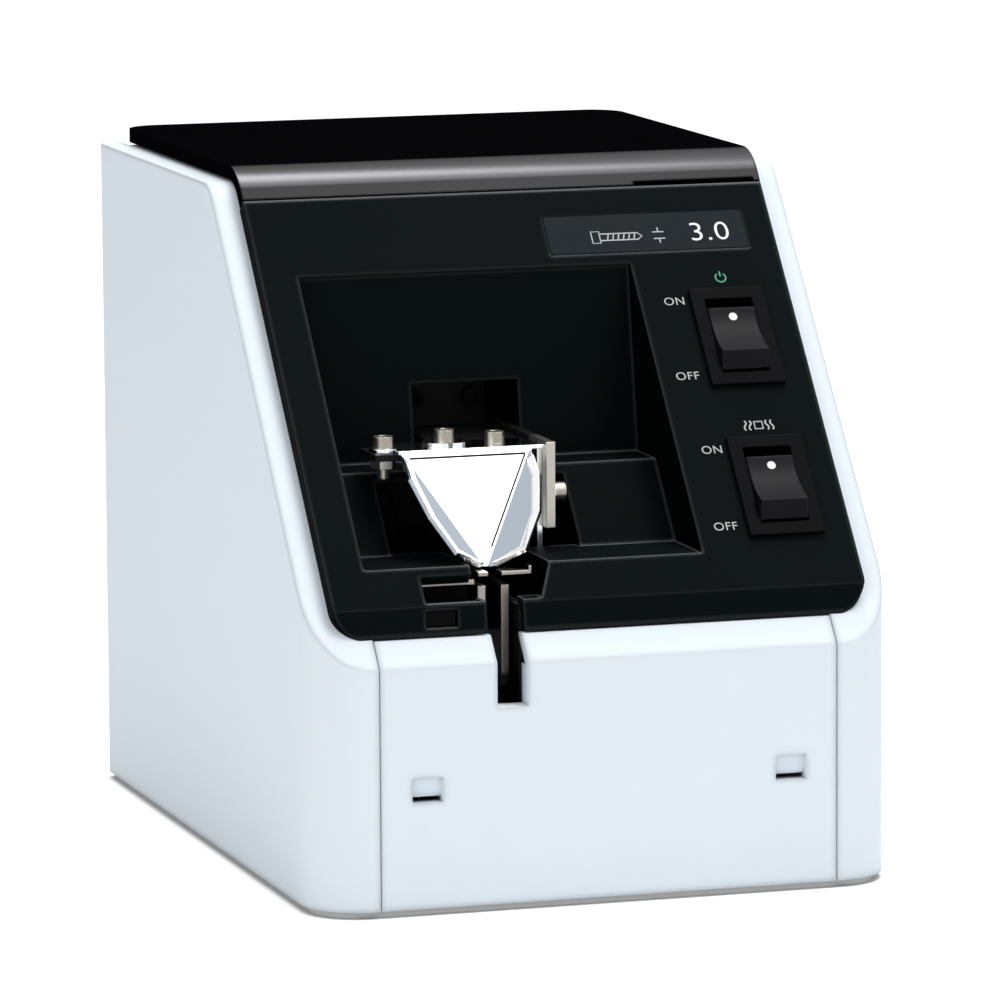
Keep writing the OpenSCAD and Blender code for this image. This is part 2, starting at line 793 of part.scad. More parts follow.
module lifter() {
    low_z = 20;
    bar_z = 39.6;
    color(nylon) in_body() difference() {
        union() {
            intersection() {
                box([lifter_x - lifter_t / 2, lifter_y - lifter_l / 2, low_z],
                    [lifter_x + lifter_t / 2, lifter_y + lifter_l / 2, lifter_z + 2]);
                along_y(0, body_d) polygon([
                    [lifter_x - lifter_t / 2, low_z], [lifter_x - lifter_t / 2, lifter_z],
                    [lifter_x + lifter_t / 2, lifter_z + 2], [lifter_x + lifter_t / 2, low_z]
                ]);
            }
        }
        difference() {
            box([lifter_x - lifter_t, lifter_y - leg_y + 3, 0], [lifter_x + lifter_t, lifter_y + leg_y - 3, bar_z]);
            bar_x(lifter_x - lifter_t / 2, lifter_x + lifter_t / 2, lifter_y, roller_z, 5.4);
            box([lifter_x - lifter_t / 2, lifter_y - 2.7, roller_z], [lifter_x + lifter_t / 2, lifter_y + 2.7, bar_z + 1]);
        }
        bar_x(lifter_x - groove_w / 2, lifter_x + groove_w / 2, lifter_y, roller_z, roller_d + 1.2);
        box([lifter_x - groove_w / 2, lifter_y - 4, roller_z - 6], [lifter_x + groove_w / 2, lifter_y + 4, roller_z]);
        bar_x(lifter_x - 5, lifter_x + 5, lifter_y, roller_z, 2);
        for (side = [-1, 1]) {
            translate([lifter_x, lifter_y + side * leg_y, 0]) cylinder(d = rod_d + 2 * play, h = 47.4);
        }
    }
}

module roller_pin() {
    color(steel) in_body() bar_x(lifter_x - lifter_t / 2 + 0.2, lifter_x + lifter_t / 2 - 0.2, lifter_y, roller_z, 2);
}

module follower_roller() {
    color(brass) in_body() difference() {
        bar_x(lifter_x - cam_t / 2, lifter_x + cam_t / 2, lifter_y, roller_z, roller_d);
        bar_x(lifter_x - 5, lifter_x + 5, lifter_y, roller_z, 2 + 2 * play);
    }
}

// Pitch radius of the cam at angle a: it rises evenly over lift_turn and falls evenly back.
function pitch_r(a) = cam_r + roller_r + 0.1
    + stroke * (a <= lift_turn ? a / lift_turn : (360 - a) / (360 - lift_turn));

// Growth of the pitch radius per radian at angle a.
function pitch_rate(a) = a <= lift_turn ? stroke / (lift_turn * PI / 180) : -stroke / ((360 - lift_turn) * PI / 180);

// Point of the cam's edge, a roller radius inside the pitch curve.
function cam_edge(a) = let (
    r = pitch_r(a),
    q = pitch_rate(a),
    n = sqrt(r * r + q * q),
    back = roller_r + 0.1
) [
    r * sin(a) - back * (r * sin(a) - q * cos(a)) / n,
    r * cos(a) - back * (r * cos(a) + q * sin(a)) / n
];

module lifter_cam() {
    color(nylon) in_body() difference() {
        union() {
            along_x(lifter_x - cam_t / 2, lifter_x + cam_t / 2) translate([lifter_y, shaft_z]) polygon([
                for (a = [0:4:lift_turn - 3]) cam_edge(a),
                for (a = [lift_turn + 4:4:357]) cam_edge(a)
            ]);
            bar_x(lifter_x + cam_t / 2 - eps, lifter_x + lifter_t / 2, lifter_y, shaft_z, 8);
        }
        bar_x(-40, 0, lifter_y, shaft_z, shaft_d);
        bar_x(-40, 0, lifter_y, roller_z, roller_d + 0.2);
    }
}

module cam_shaft() {
    color(steel) in_body() bar_x(lifter_x - cam_t / 2 - 1, lifter_x + 12, lifter_y, shaft_z, shaft_d);
}

module gear_motor() {
    face_x = lifter_x + lifter_t / 2 + 2.7;
    color(steel) in_body() difference() {
        union() {
            bar_x(face_x, face_x + 18, lifter_y, shaft_z, motor_d + 0.8);
            bar_x(face_x + 18 - eps, face_x + 46, lifter_y, shaft_z, motor_d);
            bar_x(face_x + 46 - eps, face_x + 48.5, lifter_y, shaft_z, 9);
            for (y = [-6, 6]) {
                box([face_x + 46 - eps, lifter_y + y - 1.4, shaft_z - 0.3], [face_x + 51, lifter_y + y + 1.4, shaft_z + 0.3]);
            }
        }
        bar_x(face_x - 1, face_x + 8, lifter_y, shaft_z, shaft_d + 2 * play);
    }
}

module motor_bracket() {
    face_x = lifter_x + lifter_t / 2 + 2.7;
    color(zinc) in_body() difference() {
        union() {
            box([face_x - 2, lifter_y - 15, base_top], [face_x, lifter_y + 15, 40]);
            box([face_x - 2, lifter_y - 15, base_top], [face_x + 22, lifter_y + 15, base_top + 2]);
        }
        bar_x(face_x - 3, face_x + 1, lifter_y, shaft_z, 9);
    }
}

module guide_rods() {
    color(steel) in_body() for (side = [-1, 1]) {
        translate([lifter_x, lifter_y + side * leg_y, base_z]) cylinder(d = rod_d, h = 46 - base_z);
    }
}

module brush_shaft() {
    color(steel) in_body() {
        bar_y(70.5, 88, rail_x, brush_z, 4);
        bar_y(88 - eps, 89, rail_x, brush_z, 7);
    }
}

// Places a part hung from the brush shaft at its resting tilt.
module on_brush() {
    translate([rail_x, 0, brush_z]) rotate([0, -brush_tilt, 0]) children();
}

module brush_arm() {
    color(zinc) in_body() on_brush() difference() {
        union() {
            bar_y(77.5, 87.6, 0, 0, 9);
            box([-1.2, 78, -9.5], [1.2, 87, 0]);
            box([-2.4, 77.5, -11.4], [2.4, 87.6, -7.4]);
        }
        bar_y(70, 90, 0, 0, 4 + 2 * play);
        box([-1.7, 70, -12], [1.7, 90, -9]);
    }
}

module brush_bristles() {
    color([0.85, 0.82, 0.7]) in_body() on_brush() box([-1.7, 78, -16.2], [1.7, 87.2, -9]);
}

// Bit guide

// Flat sheet of thickness t through three-dimensional points, standing on their plane.
module folded_panel(points, t) {
    c = cross(points[1] - points[0], points[2] - points[0]);
    n = c / norm(c);
    fall = acos(n.z);
    round_z = atan2(n.y, n.x);
    flat = [for (p = points) turn_y(turn_z(p, -round_z), -fall)];
    rotate([0, fall, round_z]) translate([0, 0, flat[0].z]) linear_extrude(t)
        polygon([for (q = flat) [q.x, q.y]]);
}

module guide_funnel() {
    apex = [0, 16.6, 67.9];
    top = [0, funnel_y - 0.15, funnel_z - 0.26];
    top_r = top + [funnel_half, 0, 0];
    down = (apex - top) / norm(apex - top);
    wing = [[14.2, 24, 86.8], [12, 17.2, 79.6], [7.5, 13, 72.2]];
    along = (top_r - apex) / norm(top_r - apex);
    out = cross(top_r - apex, wing[0] - apex);
    tuck = 0.5 * cross(along, out / norm(out));
    tab_x = 17.2;
    color(chrome) in_body() translate([rail_x - 0.5, 0, 0]) difference() {
        union() {
            folded_panel([apex + 0.6 * down, top - [funnel_half + 0.5, 0, 0], top_r + [0.5, 0, 0]], sheet_t);
            for (side = [0, 1]) {
                mirror([side, 0, 0]) folded_panel([apex + tuck, top_r + tuck, wing[0], wing[1], wing[2]], sheet_t);
            }
            box([-funnel_half - 0.7, funnel_y - 0.2, funnel_z - sheet_t], [tab_x, funnel_y + 11.5, funnel_z]);
            box([tab_x - 1.2, funnel_y + 1.2, 68], [tab_x, funnel_y + 6, funnel_z - 0.1]);
        }
        box([-5, 10, 60], [5, 30, apex.z + 0.6]);
        for (x = [-3, 8.1]) {
            translate([x, 36.5, 80]) cylinder(d = cap_d, h = 20);
        }
        bar_x(tab_x - 5, tab_x + 5, 33.5, 81, cap_d);
        translate([-16.6, 36, 80]) cylinder(d = 6.8, h = 20);
    }
}

// Bracket that carries the funnel: top plate, arm to the back with its right edge, end flange.
module guide_bracket() {
    color(steel) in_body() difference() {
        union() {
            box([-41.4, 31.6, bracket_z - 1.4], [cheek_x, 43, bracket_z]);
            box([-24, 42, bracket_z - 1.4], [cheek_x, 74, bracket_z]);
            box([cheek_x, 41, shelf_z + 3.3], [cheek_x + 2, 74, bracket_z + 1.4]);
            box([cheek_x - 1.2, 41, bracket_z - 1.4], [cheek_x + 0.5, 74, bracket_z]);
            box([-24, 72.6, bracket_z - 1.4], [cheek_x, 74, 101]);
        }
        for (p = [[-38.4, 36], [rail_x - 3.5, 36.5], [rail_x + 7.6, 36.5]]) {
            translate([p.x, p.y, 80]) cylinder(d = cap_d, h = 20);
        }
        box([cheek_x - 1.5, 28, 80], [cheek_x, 37, far]);
        for (x = [-21, -8]) {
            bar_y(70, 76, x, 97, cap_d);
        }
    }
}

// Upright cheek right of the funnel, against the bracket's edge.
module guide_cheek() {
    color(steel) in_body() difference() {
        box([cheek_x, 29, 74], [cheek_x + 2, 41, bracket_z + 1.4]);
        bar_x(cheek_x - 5, cheek_x + 5, 33.5, 81, cap_d);
    }
}

module cap_screws() {
    color(steel) in_body() {
        translate([-38.4, 36, funnel_z + 0.1]) cap_screw(6.5);
        translate([rail_x - 3.5, 36.5, funnel_z + 0.9]) cap_screw(4);
        translate([rail_x + 7.6, 36.5, funnel_z]) cap_screw(3);
        translate([rail_x + 19.5, 33.5, 81]) rotate([0, 90, 0]) cap_screw(5);
        for (x = [-21, -8]) {
            translate([x, 72.6, 97]) rotate([90, 0, 0]) cap_screw(3.4);
        }
    }
}

module guide_washers() {
    color(chrome) in_body() {
        difference() {
            translate([-38.4, 36, funnel_z - sheet_t]) cylinder(d = 6.2, h = 0.9);
            translate([-38.4, 36, 80]) cylinder(d = cap_d, h = 20);
        }
        difference() {
            translate([rail_x - 3.5, 36.5, funnel_z]) cylinder(d = 9.4, h = 0.9);
            translate([rail_x - 3.5, 36.5, 80]) cylinder(d = cap_d, h = 20);
            box([rail_x - 4, 30, funnel_z - 1], [rail_x - 3, 36.5, funnel_z + 2]);
        }
        difference() {
            bar_x(rail_x + 18.7, rail_x + 19.5, 33.5, 81, 5.4);
            bar_x(rail_x + 15, rail_x + 25, 33.5, 81, cap_d);
        }
    }
}

module guide_nut() {
    color(steel) in_body() difference() {
        translate([-38.4, 36, funnel_z - sheet_t - 3.4]) cylinder(d = 5.5, h = 2, $fn = 6);
        translate([-38.4, 36, 80]) cylinder(d = cap_d, h = 20);
    }
}

// Escapement at the front end of the rail

module escapement_block() {
    color([0.2, 0.2, 0.22]) in_body() difference() {
        box([-46, 13, 58], [rail_x - slot_half - 2.4, 24, 65.2]);
        box([-47, 15.9, 64.15], [0, 20.1, 70]);
        box([-47, 12, 57], [-40, 14.5, 70]);
    }
}

module gate_slide() {
    color(chrome) in_body() difference() {
        union() {
            box([-44, 16, 64.2], [-27.4, 20, 65]);
            box([-44, 16, 64.2], [-42, 20, 67]);
            box([-29.6, 16, 64.2], [-27.4, 20, 66.4]);
            box([-38.6, 13.6, 65.4], [-29.6, 20, 66]);
            box([-30.6, 13.6, 65.4], [-25.4, 20, 66.4]);
            box([-36, 17, 64.5], [-32, 19, 65.5]);
        }
        translate([-38.6, 13.6, 60]) rotate([0, 0, 45]) cube([1.6, 1.6, 20], center = true);
    }
}

// Electrics

module circuit_board() {
    color(board_green) in_body() difference() {
        box([2, 24, 8.6], [50, 92, 10.2]);
        for (x = [6, 46], y = [28, 88]) {
            translate([x, y, 5]) cylinder(d = 3, h = 8);
        }
    }
}

module board_parts() {
    color([0.75, 0.76, 0.78]) in_body() {
        for (x = [6, 46], y = [28, 88]) {
            translate([x, y, base_top]) cylinder(d = 5, h = 6, $fn = 6);
            translate([x, y, 8]) cylinder(d = 3, h = 3);
        }
        for (x = [14, 28]) {
            box([x, 30, 10.2], [x + 11, 48, 20]);
        }
        for (i = [0:2]) {
            translate([13 + 11 * i, 58, 10.2]) cylinder(d = 8, h = 12);
        }
        box([16, 68, 10.2], [36, 75, 13.6]);
        for (x = [8, 24]) {
            box([x, 84, 10.2], [x + 12, 90, 18]);
        }
    }
}

module dc_inlet() {
    color(rubber) in_body() difference() {
        union() {
            bar_y(body_d - 16, body_d - 0.4, 40, 20, 8.2);
            bar_y(body_d - 16, body_d - rim_t, 40, 20, 11.5);
            box([36.8, body_d - 24, 15], [43.2, body_d - 15, 25]);
        }
        bar_y(body_d - 12, body_d + 1, 40, 20, 5.7);
    }
    color(steel) in_body() bar_y(body_d - 13, body_d - 3, 40, 20, 2);
}

casing();
base_plate();
rubber_feet();
base_screws();
front_cover();
front_panel();
lid();
hinge_pins();
label_plate();
sensor_window();
power_switch();
power_rocker();
vibration_switch();
vibration_rocker();
hopper();
hopper_floor();
passing_plate();
passing_screws();
rail_left();
rail_right();
rail_base();
rail_screws();
leaf_springs();
spring_blocks();
vibration_motor();
eccentric_weight();
lifter();
roller_pin();
follower_roller();
lifter_cam();
cam_shaft();
gear_motor();
motor_bracket();
guide_rods();
brush_shaft();
brush_arm();
brush_bristles();
guide_bracket();
guide_cheek();
guide_funnel();
cap_screws();
guide_washers();
guide_nut();
escapement_block();
gate_slide();
head_guides();
circuit_board();
board_parts();
dc_inlet();
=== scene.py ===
import json
import logging
import math
from dataclasses import dataclass, field, replace
from enum import Enum
from functools import cache
from typing import Callable, Iterable, Optional, Sequence

import bpy
import bmesh
from mathutils import Matrix, Vector


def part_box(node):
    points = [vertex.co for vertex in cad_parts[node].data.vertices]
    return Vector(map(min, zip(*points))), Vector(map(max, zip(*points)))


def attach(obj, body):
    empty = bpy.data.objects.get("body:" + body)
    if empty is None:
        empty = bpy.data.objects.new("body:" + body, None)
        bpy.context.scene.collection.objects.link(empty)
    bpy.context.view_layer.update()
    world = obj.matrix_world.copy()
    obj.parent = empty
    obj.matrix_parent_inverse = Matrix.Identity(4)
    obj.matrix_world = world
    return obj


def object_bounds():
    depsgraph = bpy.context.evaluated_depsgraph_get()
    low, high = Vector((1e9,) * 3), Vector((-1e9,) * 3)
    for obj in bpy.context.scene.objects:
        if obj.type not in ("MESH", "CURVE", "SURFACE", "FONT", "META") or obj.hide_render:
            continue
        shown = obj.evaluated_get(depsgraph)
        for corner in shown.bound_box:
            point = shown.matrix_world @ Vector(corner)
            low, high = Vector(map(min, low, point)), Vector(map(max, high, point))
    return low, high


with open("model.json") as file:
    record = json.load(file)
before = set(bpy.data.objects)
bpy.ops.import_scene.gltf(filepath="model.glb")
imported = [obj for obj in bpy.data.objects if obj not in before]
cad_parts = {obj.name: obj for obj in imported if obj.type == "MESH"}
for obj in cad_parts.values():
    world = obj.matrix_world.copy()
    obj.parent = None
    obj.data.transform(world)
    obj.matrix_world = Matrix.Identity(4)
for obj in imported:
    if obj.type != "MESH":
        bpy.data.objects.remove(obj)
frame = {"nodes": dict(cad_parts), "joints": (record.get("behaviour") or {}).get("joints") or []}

FRAME_BOUNDS = [list(corner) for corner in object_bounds()]
LOG = logging.getLogger("screw_feeder")

Rgb = tuple[float, float, float]
Point2 = tuple[float, float]
Point3 = tuple[float, float, float]

MM = 0.001
SLOPE = math.radians(49.6)
BODY_HOUSING = "housing"
SLOPE_SHINE = 0.12
FLOAT = "NodeSocketFloat"
VECTOR = "NodeSocketVector"


class WearAndHighlight(Enum):
    """How strongly a finish shows its edge colour: wear at its edges, and on some finishes a painted highlight.
    """

    NONE = 0.0
    FAINT = 0.25
    LIGHT = 0.6


class Grain(Enum):
    """The fine structure of a surface."""

    MOULDED = "moulded"
    BRUSHED = "brushed"
    SMOOTH = "smooth"


# ---------------------------------------------------------------- shader node groups


def new_node(
    tree: bpy.types.NodeTree, kind: str, defaults: Optional[dict] = None, **settings: object
) -> bpy.types.Node:
    """Adds a shader node.

    Args:
        tree: the tree it joins.
        kind: its type, without the common prefix.
        defaults: values of unlinked inputs, by name or number.
        settings: values of the node's own properties.

    Returns:
        The node.
    """
    node = tree.nodes.new("ShaderNode" + kind)
    for name, value in settings.items():
        setattr(node, name, value)
    for label, value in (defaults or {}).items():
        node.inputs[label].default_value = value
    return node


def join(tree: bpy.types.NodeTree, *pairs: tuple[bpy.types.NodeSocket, bpy.types.NodeSocket]) -> None:
    """Links sockets.

    Args:
        tree: the tree that holds them.
        pairs: output and input of each link.
    """
    for start, end in pairs:
        tree.links.new(start, end)


class NodeGroups:
    """Shared effects, each built once as a node group that outputs masks, values or normals only.

    Attributes:
        EDGE_TURN: cosines between rounded and plain normal at which the edge mask starts and is full.
        UPWARD: height of the rounded normal at which an edge starts to look up, and looks up fully, for the
            painted edge highlight.
        LEAST_LIT: share of the edge mask left on edges that don't look up, in the painted edge highlight.
        SIDE_TURN: sideways parts of the normal at which the sideways mask starts and is full.
        BEND_TURN: heights of the normal at which the bend mask starts and is full.
        LINE_STRETCH: squeeze of brushed lines along their length.
    """

    EDGE_TURN: Point2 = (0.995, 0.86)
    UPWARD: Point2 = (0.5, 0.95)
    LEAST_LIT: float = 0.12
    SIDE_TURN: Point2 = (0.2, 0.55)
    BEND_TURN: Point2 = (0.995, 0.84)
    LINE_STRETCH: float = 0.06

    @staticmethod
    def _new(
        name: str, inputs: dict[str, float], outputs: dict[str, str]
    ) -> tuple[bpy.types.ShaderNodeTree, bpy.types.Node, bpy.types.Node]:
        """Starts an empty group with its sockets.

        Args:
            name: name of the group.
            inputs: default of each input, by name.
            outputs: socket type of each output, by name.

        Returns:
            The tree, its input node and its output node.
        """
        tree = bpy.data.node_groups.new(name, "ShaderNodeTree")
        for label, default in inputs.items():
            socket = tree.interface.new_socket(name=label, in_out="INPUT", socket_type=FLOAT)
            socket.default_value = default
        for label, kind in outputs.items():
            tree.interface.new_socket(name=label, in_out="OUTPUT", socket_type=kind)
        return tree, tree.nodes.new("NodeGroupInput"), tree.nodes.new("NodeGroupOutput")

    @staticmethod
    def _ramp(tree: bpy.types.NodeTree, span: Point2, least: float = 0.0, smooth: bool = True) -> bpy.types.Node:
        """Adds a ramp that rises to 1.

        Args:
            tree: the tree it joins.
            span: values at which it starts and is full.
            least: its level at the start.
            smooth: whether it eases in and out.

        Returns:
            The ramp, with Value in and Result out.
        """
        values = {"From Min": span[0], "From Max": span[1], "To Min": least}
        return new_node(tree, "MapRange", values, interpolation_type="SMOOTHSTEP" if smooth else "LINEAR")

    @classmethod
    @cache
    def grain(cls) -> bpy.types.ShaderNodeTree:
        """Moulded-plastic texture.

        Returns:
            A group with Scale in, and Height and Tone out.
        """
        tree, gin, gout = cls._new("surface grain", {"Scale": 900.0}, {"Height": FLOAT, "Tone": FLOAT})
        coord = new_node(tree, "TexCoord")
        fine = new_node(tree, "TexNoise", {"Detail": 3.0})
        broad = new_node(tree, "TexNoise", {"Scale": 22.0, "Detail": 5.0})
        join(tree,
             (coord.outputs["Object"], fine.inputs["Vector"]),
             (coord.outputs["Object"], broad.inputs["Vector"]),
             (gin.outputs["Scale"], fine.inputs["Scale"]),
             (fine.outputs["Fac"], gout.inputs["Height"]),
             (broad.outputs["Fac"], gout.inputs["Tone"]))
        return tree

    @classmethod
    @cache
    def brushed(cls) -> bpy.types.ShaderNodeTree:
        """Fine parallel lines of brushed or ground metal.

        Returns:
            A group with Scale in, and Height and Tone out.
        """
        tree, gin, gout = cls._new("brushed lines", {"Scale": 400.0}, {"Height": FLOAT, "Tone": FLOAT})
        coord = new_node(tree, "TexCoord")
        stretch = new_node(tree, "Mapping", {"Scale": (1.0, cls.LINE_STRETCH, 1.0)})
        lines = new_node(tree, "TexNoise", {"Detail": 4.0})
        broad = new_node(tree, "TexNoise", {"Scale": 60.0})
        join(tree,
             (coord.outputs["Object"], stretch.inputs["Vector"]),
             (stretch.outputs["Vector"], lines.inputs["Vector"]),
             (coord.outputs["Object"], broad.inputs["Vector"]),
             (gin.outputs["Scale"], lines.inputs["Scale"]),
             (lines.outputs["Fac"], gout.inputs["Height"]),
             (broad.outputs["Fac"], gout.inputs["Tone"]))
        return tree

    @classmethod
    @cache
    def rounding(cls) -> bpy.types.ShaderNodeTree:
        """Soft edges: a normal rounded over Radius, and masks of the edges it rounds.

        Returns:
            A group with Radius in, and Normal, Mask and Lit (the edges that look up, a mask for a painted
            highlight) out.
        """
        outputs = {"Normal": VECTOR, "Mask": FLOAT, "Lit": FLOAT}
        tree, gin, gout = cls._new("edge rounding", {"Radius": 0.0006}, outputs)
        bevel = new_node(tree, "Bevel", samples=6)
        plain = new_node(tree, "NewGeometry")
        dot = new_node(tree, "VectorMath", operation="DOT_PRODUCT")
        ramp = cls._ramp(tree, cls.EDGE_TURN, smooth=False)
        split = new_node(tree, "SeparateXYZ")
        upward = cls._ramp(tree, cls.UPWARD, cls.LEAST_LIT, smooth=False)
        lit = new_node(tree, "Math", operation="MULTIPLY")
        join(tree,
             (gin.outputs["Radius"], bevel.inputs["Radius"]),
             (bevel.outputs["Normal"], dot.inputs[0]),
             (plain.outputs["Normal"], dot.inputs[1]),
             (dot.outputs["Value"], ramp.inputs["Value"]),
             (bevel.outputs["Normal"], gout.inputs["Normal"]),
             (ramp.outputs["Result"], gout.inputs["Mask"]),
             (bevel.outputs["Normal"], split.inputs["Vector"]),
             (split.outputs["Z"], upward.inputs["Value"]),
             (upward.outputs["Result"], lit.inputs[0]),
             (ramp.outputs["Result"], lit.inputs[1]),
             (lit.outputs["Value"], gout.inputs["Lit"]))
        return tree

    @classmethod
    @cache
    def sideways(cls) -> bpy.types.ShaderNodeTree:
        """Finds faces turned to the left or right, for a painted shade.

        Returns:
            A group with Mask out: 1 on faces turned sideways, 0 on faces that look another way.
        """
        tree, _, gout = cls._new("sideways mask", {}, {"Mask": FLOAT})
        normal = new_node(tree, "NewGeometry")
        split = new_node(tree, "SeparateXYZ")
        size = new_node(tree, "Math", operation="ABSOLUTE")
        ramp = cls._ramp(tree, cls.SIDE_TURN)
        join(tree,
             (normal.outputs["Normal"], split.inputs["Vector"]),
             (split.outputs["X"], size.inputs[0]),
             (size.outputs["Value"], ramp.inputs["Value"]),
             (ramp.outputs["Result"], gout.inputs["Mask"]))
        return tree

    @classmethod
    @cache
    def bend(cls) -> bpy.types.ShaderNodeTree:
        """Finds the bend and the slope below a level top.

        Returns:
            A group with Mask out: 1 on the bend, less on the slope, 0 on level and upright faces.
        """
        tree, _, gout = cls._new("bend mask", {}, {"Mask": FLOAT})
        normal = new_node(tree, "NewGeometry")
        split = new_node(tree, "SeparateXYZ")
        join(tree, (normal.outputs["Normal"], split.inputs["Vector"]))
        level = math.cos(SLOPE)
        mask = None
        for span, least in ((cls.BEND_TURN, 0.0), ((level - 0.05, level - 0.01), 0.0),
                            ((level + 0.005, level + 0.18), SLOPE_SHINE)):
            ramp = cls._ramp(tree, span, least)
            join(tree, (split.outputs["Z"], ramp.inputs["Value"]))
            if mask is None:
                mask = ramp.outputs["Result"]
                continue
            both = new_node(tree, "Math", operation="MULTIPLY")
            join(tree, (mask, both.inputs[0]), (ramp.outputs["Result"], both.inputs[1]))
            mask = both.outputs["Value"]
        join(tree, (mask, gout.inputs["Mask"]))
        return tree

    @classmethod
    @cache
    def behind(cls) -> bpy.types.ShaderNodeTree:
        """Finds what lies behind an upright plane, for a painted shade.

        Returns:
            A group with Plane (the plane's Y) in, and Mask out: 1 behind it, 0 in front.
        """
        tree, gin, gout = cls._new("behind mask", {"Plane": 0.0}, {"Mask": FLOAT})
        coord = new_node(tree, "TexCoord")
        split = new_node(tree, "SeparateXYZ")
        test = new_node(tree, "Math", operation="GREATER_THAN")
        join(tree,
             (coord.outputs["Object"], split.inputs["Vector"]),
             (split.outputs["Y"], test.inputs[0]),
             (gin.outputs["Plane"], test.inputs[1]),
             (test.outputs["Value"], gout.inputs["Mask"]))
        return tree


# ---------------------------------------------------------------- finishes


@dataclass(frozen=True)
class Finish:
    """One surface finish, turned into a procedural material when first used.

    Attributes:
        name: material name.
        slot: the record's material slot; not used.
        base: main colour.
        wear_and_highlight_colour: colour of edges, as wear and as a painted highlight, and of light patches.
        roughness: middle roughness.
        spread: how far roughness varies.
        metallic: 0 or 1.
        coat: weight of the clear coat.
        grain: kind of fine structure.
        scale: scale of the fine structure.
        depth: height of the fine structure, in metres.
        edge: radius of the soft edges, in metres.
        wear_and_highlight: strength of the edge colour, as edge wear and as a painted highlight.
        tone: share of the edge colour in the broad mottling.
        specular: reflection level.
        bend_specular: reflection level on a bend below a level top; 0 leaves it as elsewhere.
        tint: tint of reflections.
        painted_side_shade: painted shade, the colour of faces turned sideways, if it differs.
        lit_edges: whether the edge colour is a painted highlight that shows only on edges that look up.
        painted_far_shade: painted shade, the colour of what lies behind the plane far_from, if it differs.
        far_from: Y of that plane, in metres.
    """

    name: str
    slot: str
    base: Rgb
    wear_and_highlight_colour: Rgb
    roughness: float = 0.4
    spread: float = 0.08
    metallic: float = 0.0
    coat: float = 0.0
    grain: Grain = Grain.MOULDED
    scale: float = 900.0
    depth: float = 0.00002
    edge: float = 0.0005
    wear_and_highlight: WearAndHighlight = WearAndHighlight.FAINT
    tone: float = 0.15
    specular: float = 0.5
    bend_specular: float = 0.0
    tint: Rgb = (1.0, 1.0, 1.0)
    painted_side_shade: Optional[Rgb] = None
    lit_edges: bool = False
    painted_far_shade: Optional[Rgb] = None
    far_from: float = 0.0

    def material(self) -> bpy.types.Material:
        """Builds the material, or returns the one built before.

        Returns:
            The procedural material.
        """
        if self.name in bpy.data.materials:
            return bpy.data.materials[self.name]
        mat = bpy.data.materials.new(self.name)
        mat.use_nodes = True
        mat.diffuse_color = (*self.base, 1.0)
        tree = mat.node_tree
        shader = tree.nodes["Principled BSDF"]
        shader.inputs["Metallic"].default_value = self.metallic
        shader.inputs["Coat Weight"].default_value = self.coat
        shader.inputs["Specular IOR Level"].default_value = self.specular
        shader.inputs["Specular Tint"].default_value = (*self.tint, 1.0)
        made = NodeGroups.brushed() if self.grain is Grain.BRUSHED else NodeGroups.grain()
        fine = new_node(tree, "Group", node_tree=made)
        fine.inputs["Scale"].default_value = self.scale
        edges = new_node(tree, "Group", node_tree=NodeGroups.rounding())
        edges.inputs["Radius"].default_value = self.edge

        weaken = new_node(tree, "Math", {1: self.tone}, operation="MULTIPLY")
        mottle = self._mix(tree, self.base, self.wear_and_highlight_colour)
        # Edge colour: wear on edges, and with lit_edges a painted highlight on the edges that look up.
        wear_and_highlight_mix = self._mix(tree, self.base, self.wear_and_highlight_colour)
        amount = new_node(tree, "Math", {1: self.wear_and_highlight.value}, operation="MULTIPLY")
        join(tree,
             (fine.outputs["Tone"], weaken.inputs[0]),
             (weaken.outputs["Value"], mottle.inputs["Factor"]),
             (mottle.outputs["Result"], wear_and_highlight_mix.inputs["A"]),
             (edges.outputs["Lit" if self.lit_edges else "Mask"], amount.inputs[0]),
             (amount.outputs["Value"], wear_and_highlight_mix.inputs["Factor"]))
        tone = wear_and_highlight_mix
        # Painted shade: faces turned sideways take a darker colour.
        if self.painted_side_shade:
            turned = new_node(tree, "Group", node_tree=NodeGroups.sideways())
            tone = self._over(tree, tone, self.painted_side_shade, turned)
        # Painted shade: what lies behind the plane far_from takes a darker colour.
        if self.painted_far_shade:
            behind = new_node(tree, "Group", node_tree=NodeGroups.behind())
            behind.inputs["Plane"].default_value = self.far_from
            tone = self._over(tree, tone, self.painted_far_shade, behind)

        least, most = max(0.0, self.roughness - self.spread), min(1.0, self.roughness + self.spread)
        rough = new_node(tree, "MapRange", {"From Min": 0.3, "From Max": 0.7, "To Min": least, "To Max": most})
        bump = new_node(tree, "Bump", {"Strength": 0.5, "Distance": self.depth})
        join(tree,
             (tone.outputs["Result"], shader.inputs["Base Color"]),
             (fine.outputs["Tone"], rough.inputs["Value"]),
             (rough.outputs["Result"], shader.inputs["Roughness"]),
             (fine.outputs["Height"], bump.inputs["Height"]),
             (edges.outputs["Normal"], bump.inputs["Normal"]),
             (bump.outputs["Normal"], shader.inputs["Normal"]))
        if self.bend_specular:
            bend = new_node(tree, "Group", node_tree=NodeGroups.bend())
            level = new_node(tree, "MapRange", {"To Min": self.specular, "To Max": self.bend_specular})
            join(tree,
                 (bend.outputs["Mask"], level.inputs["Value"]),
                 (level.outputs["Result"], shader.inputs["Specular IOR Level"]))
        return mat

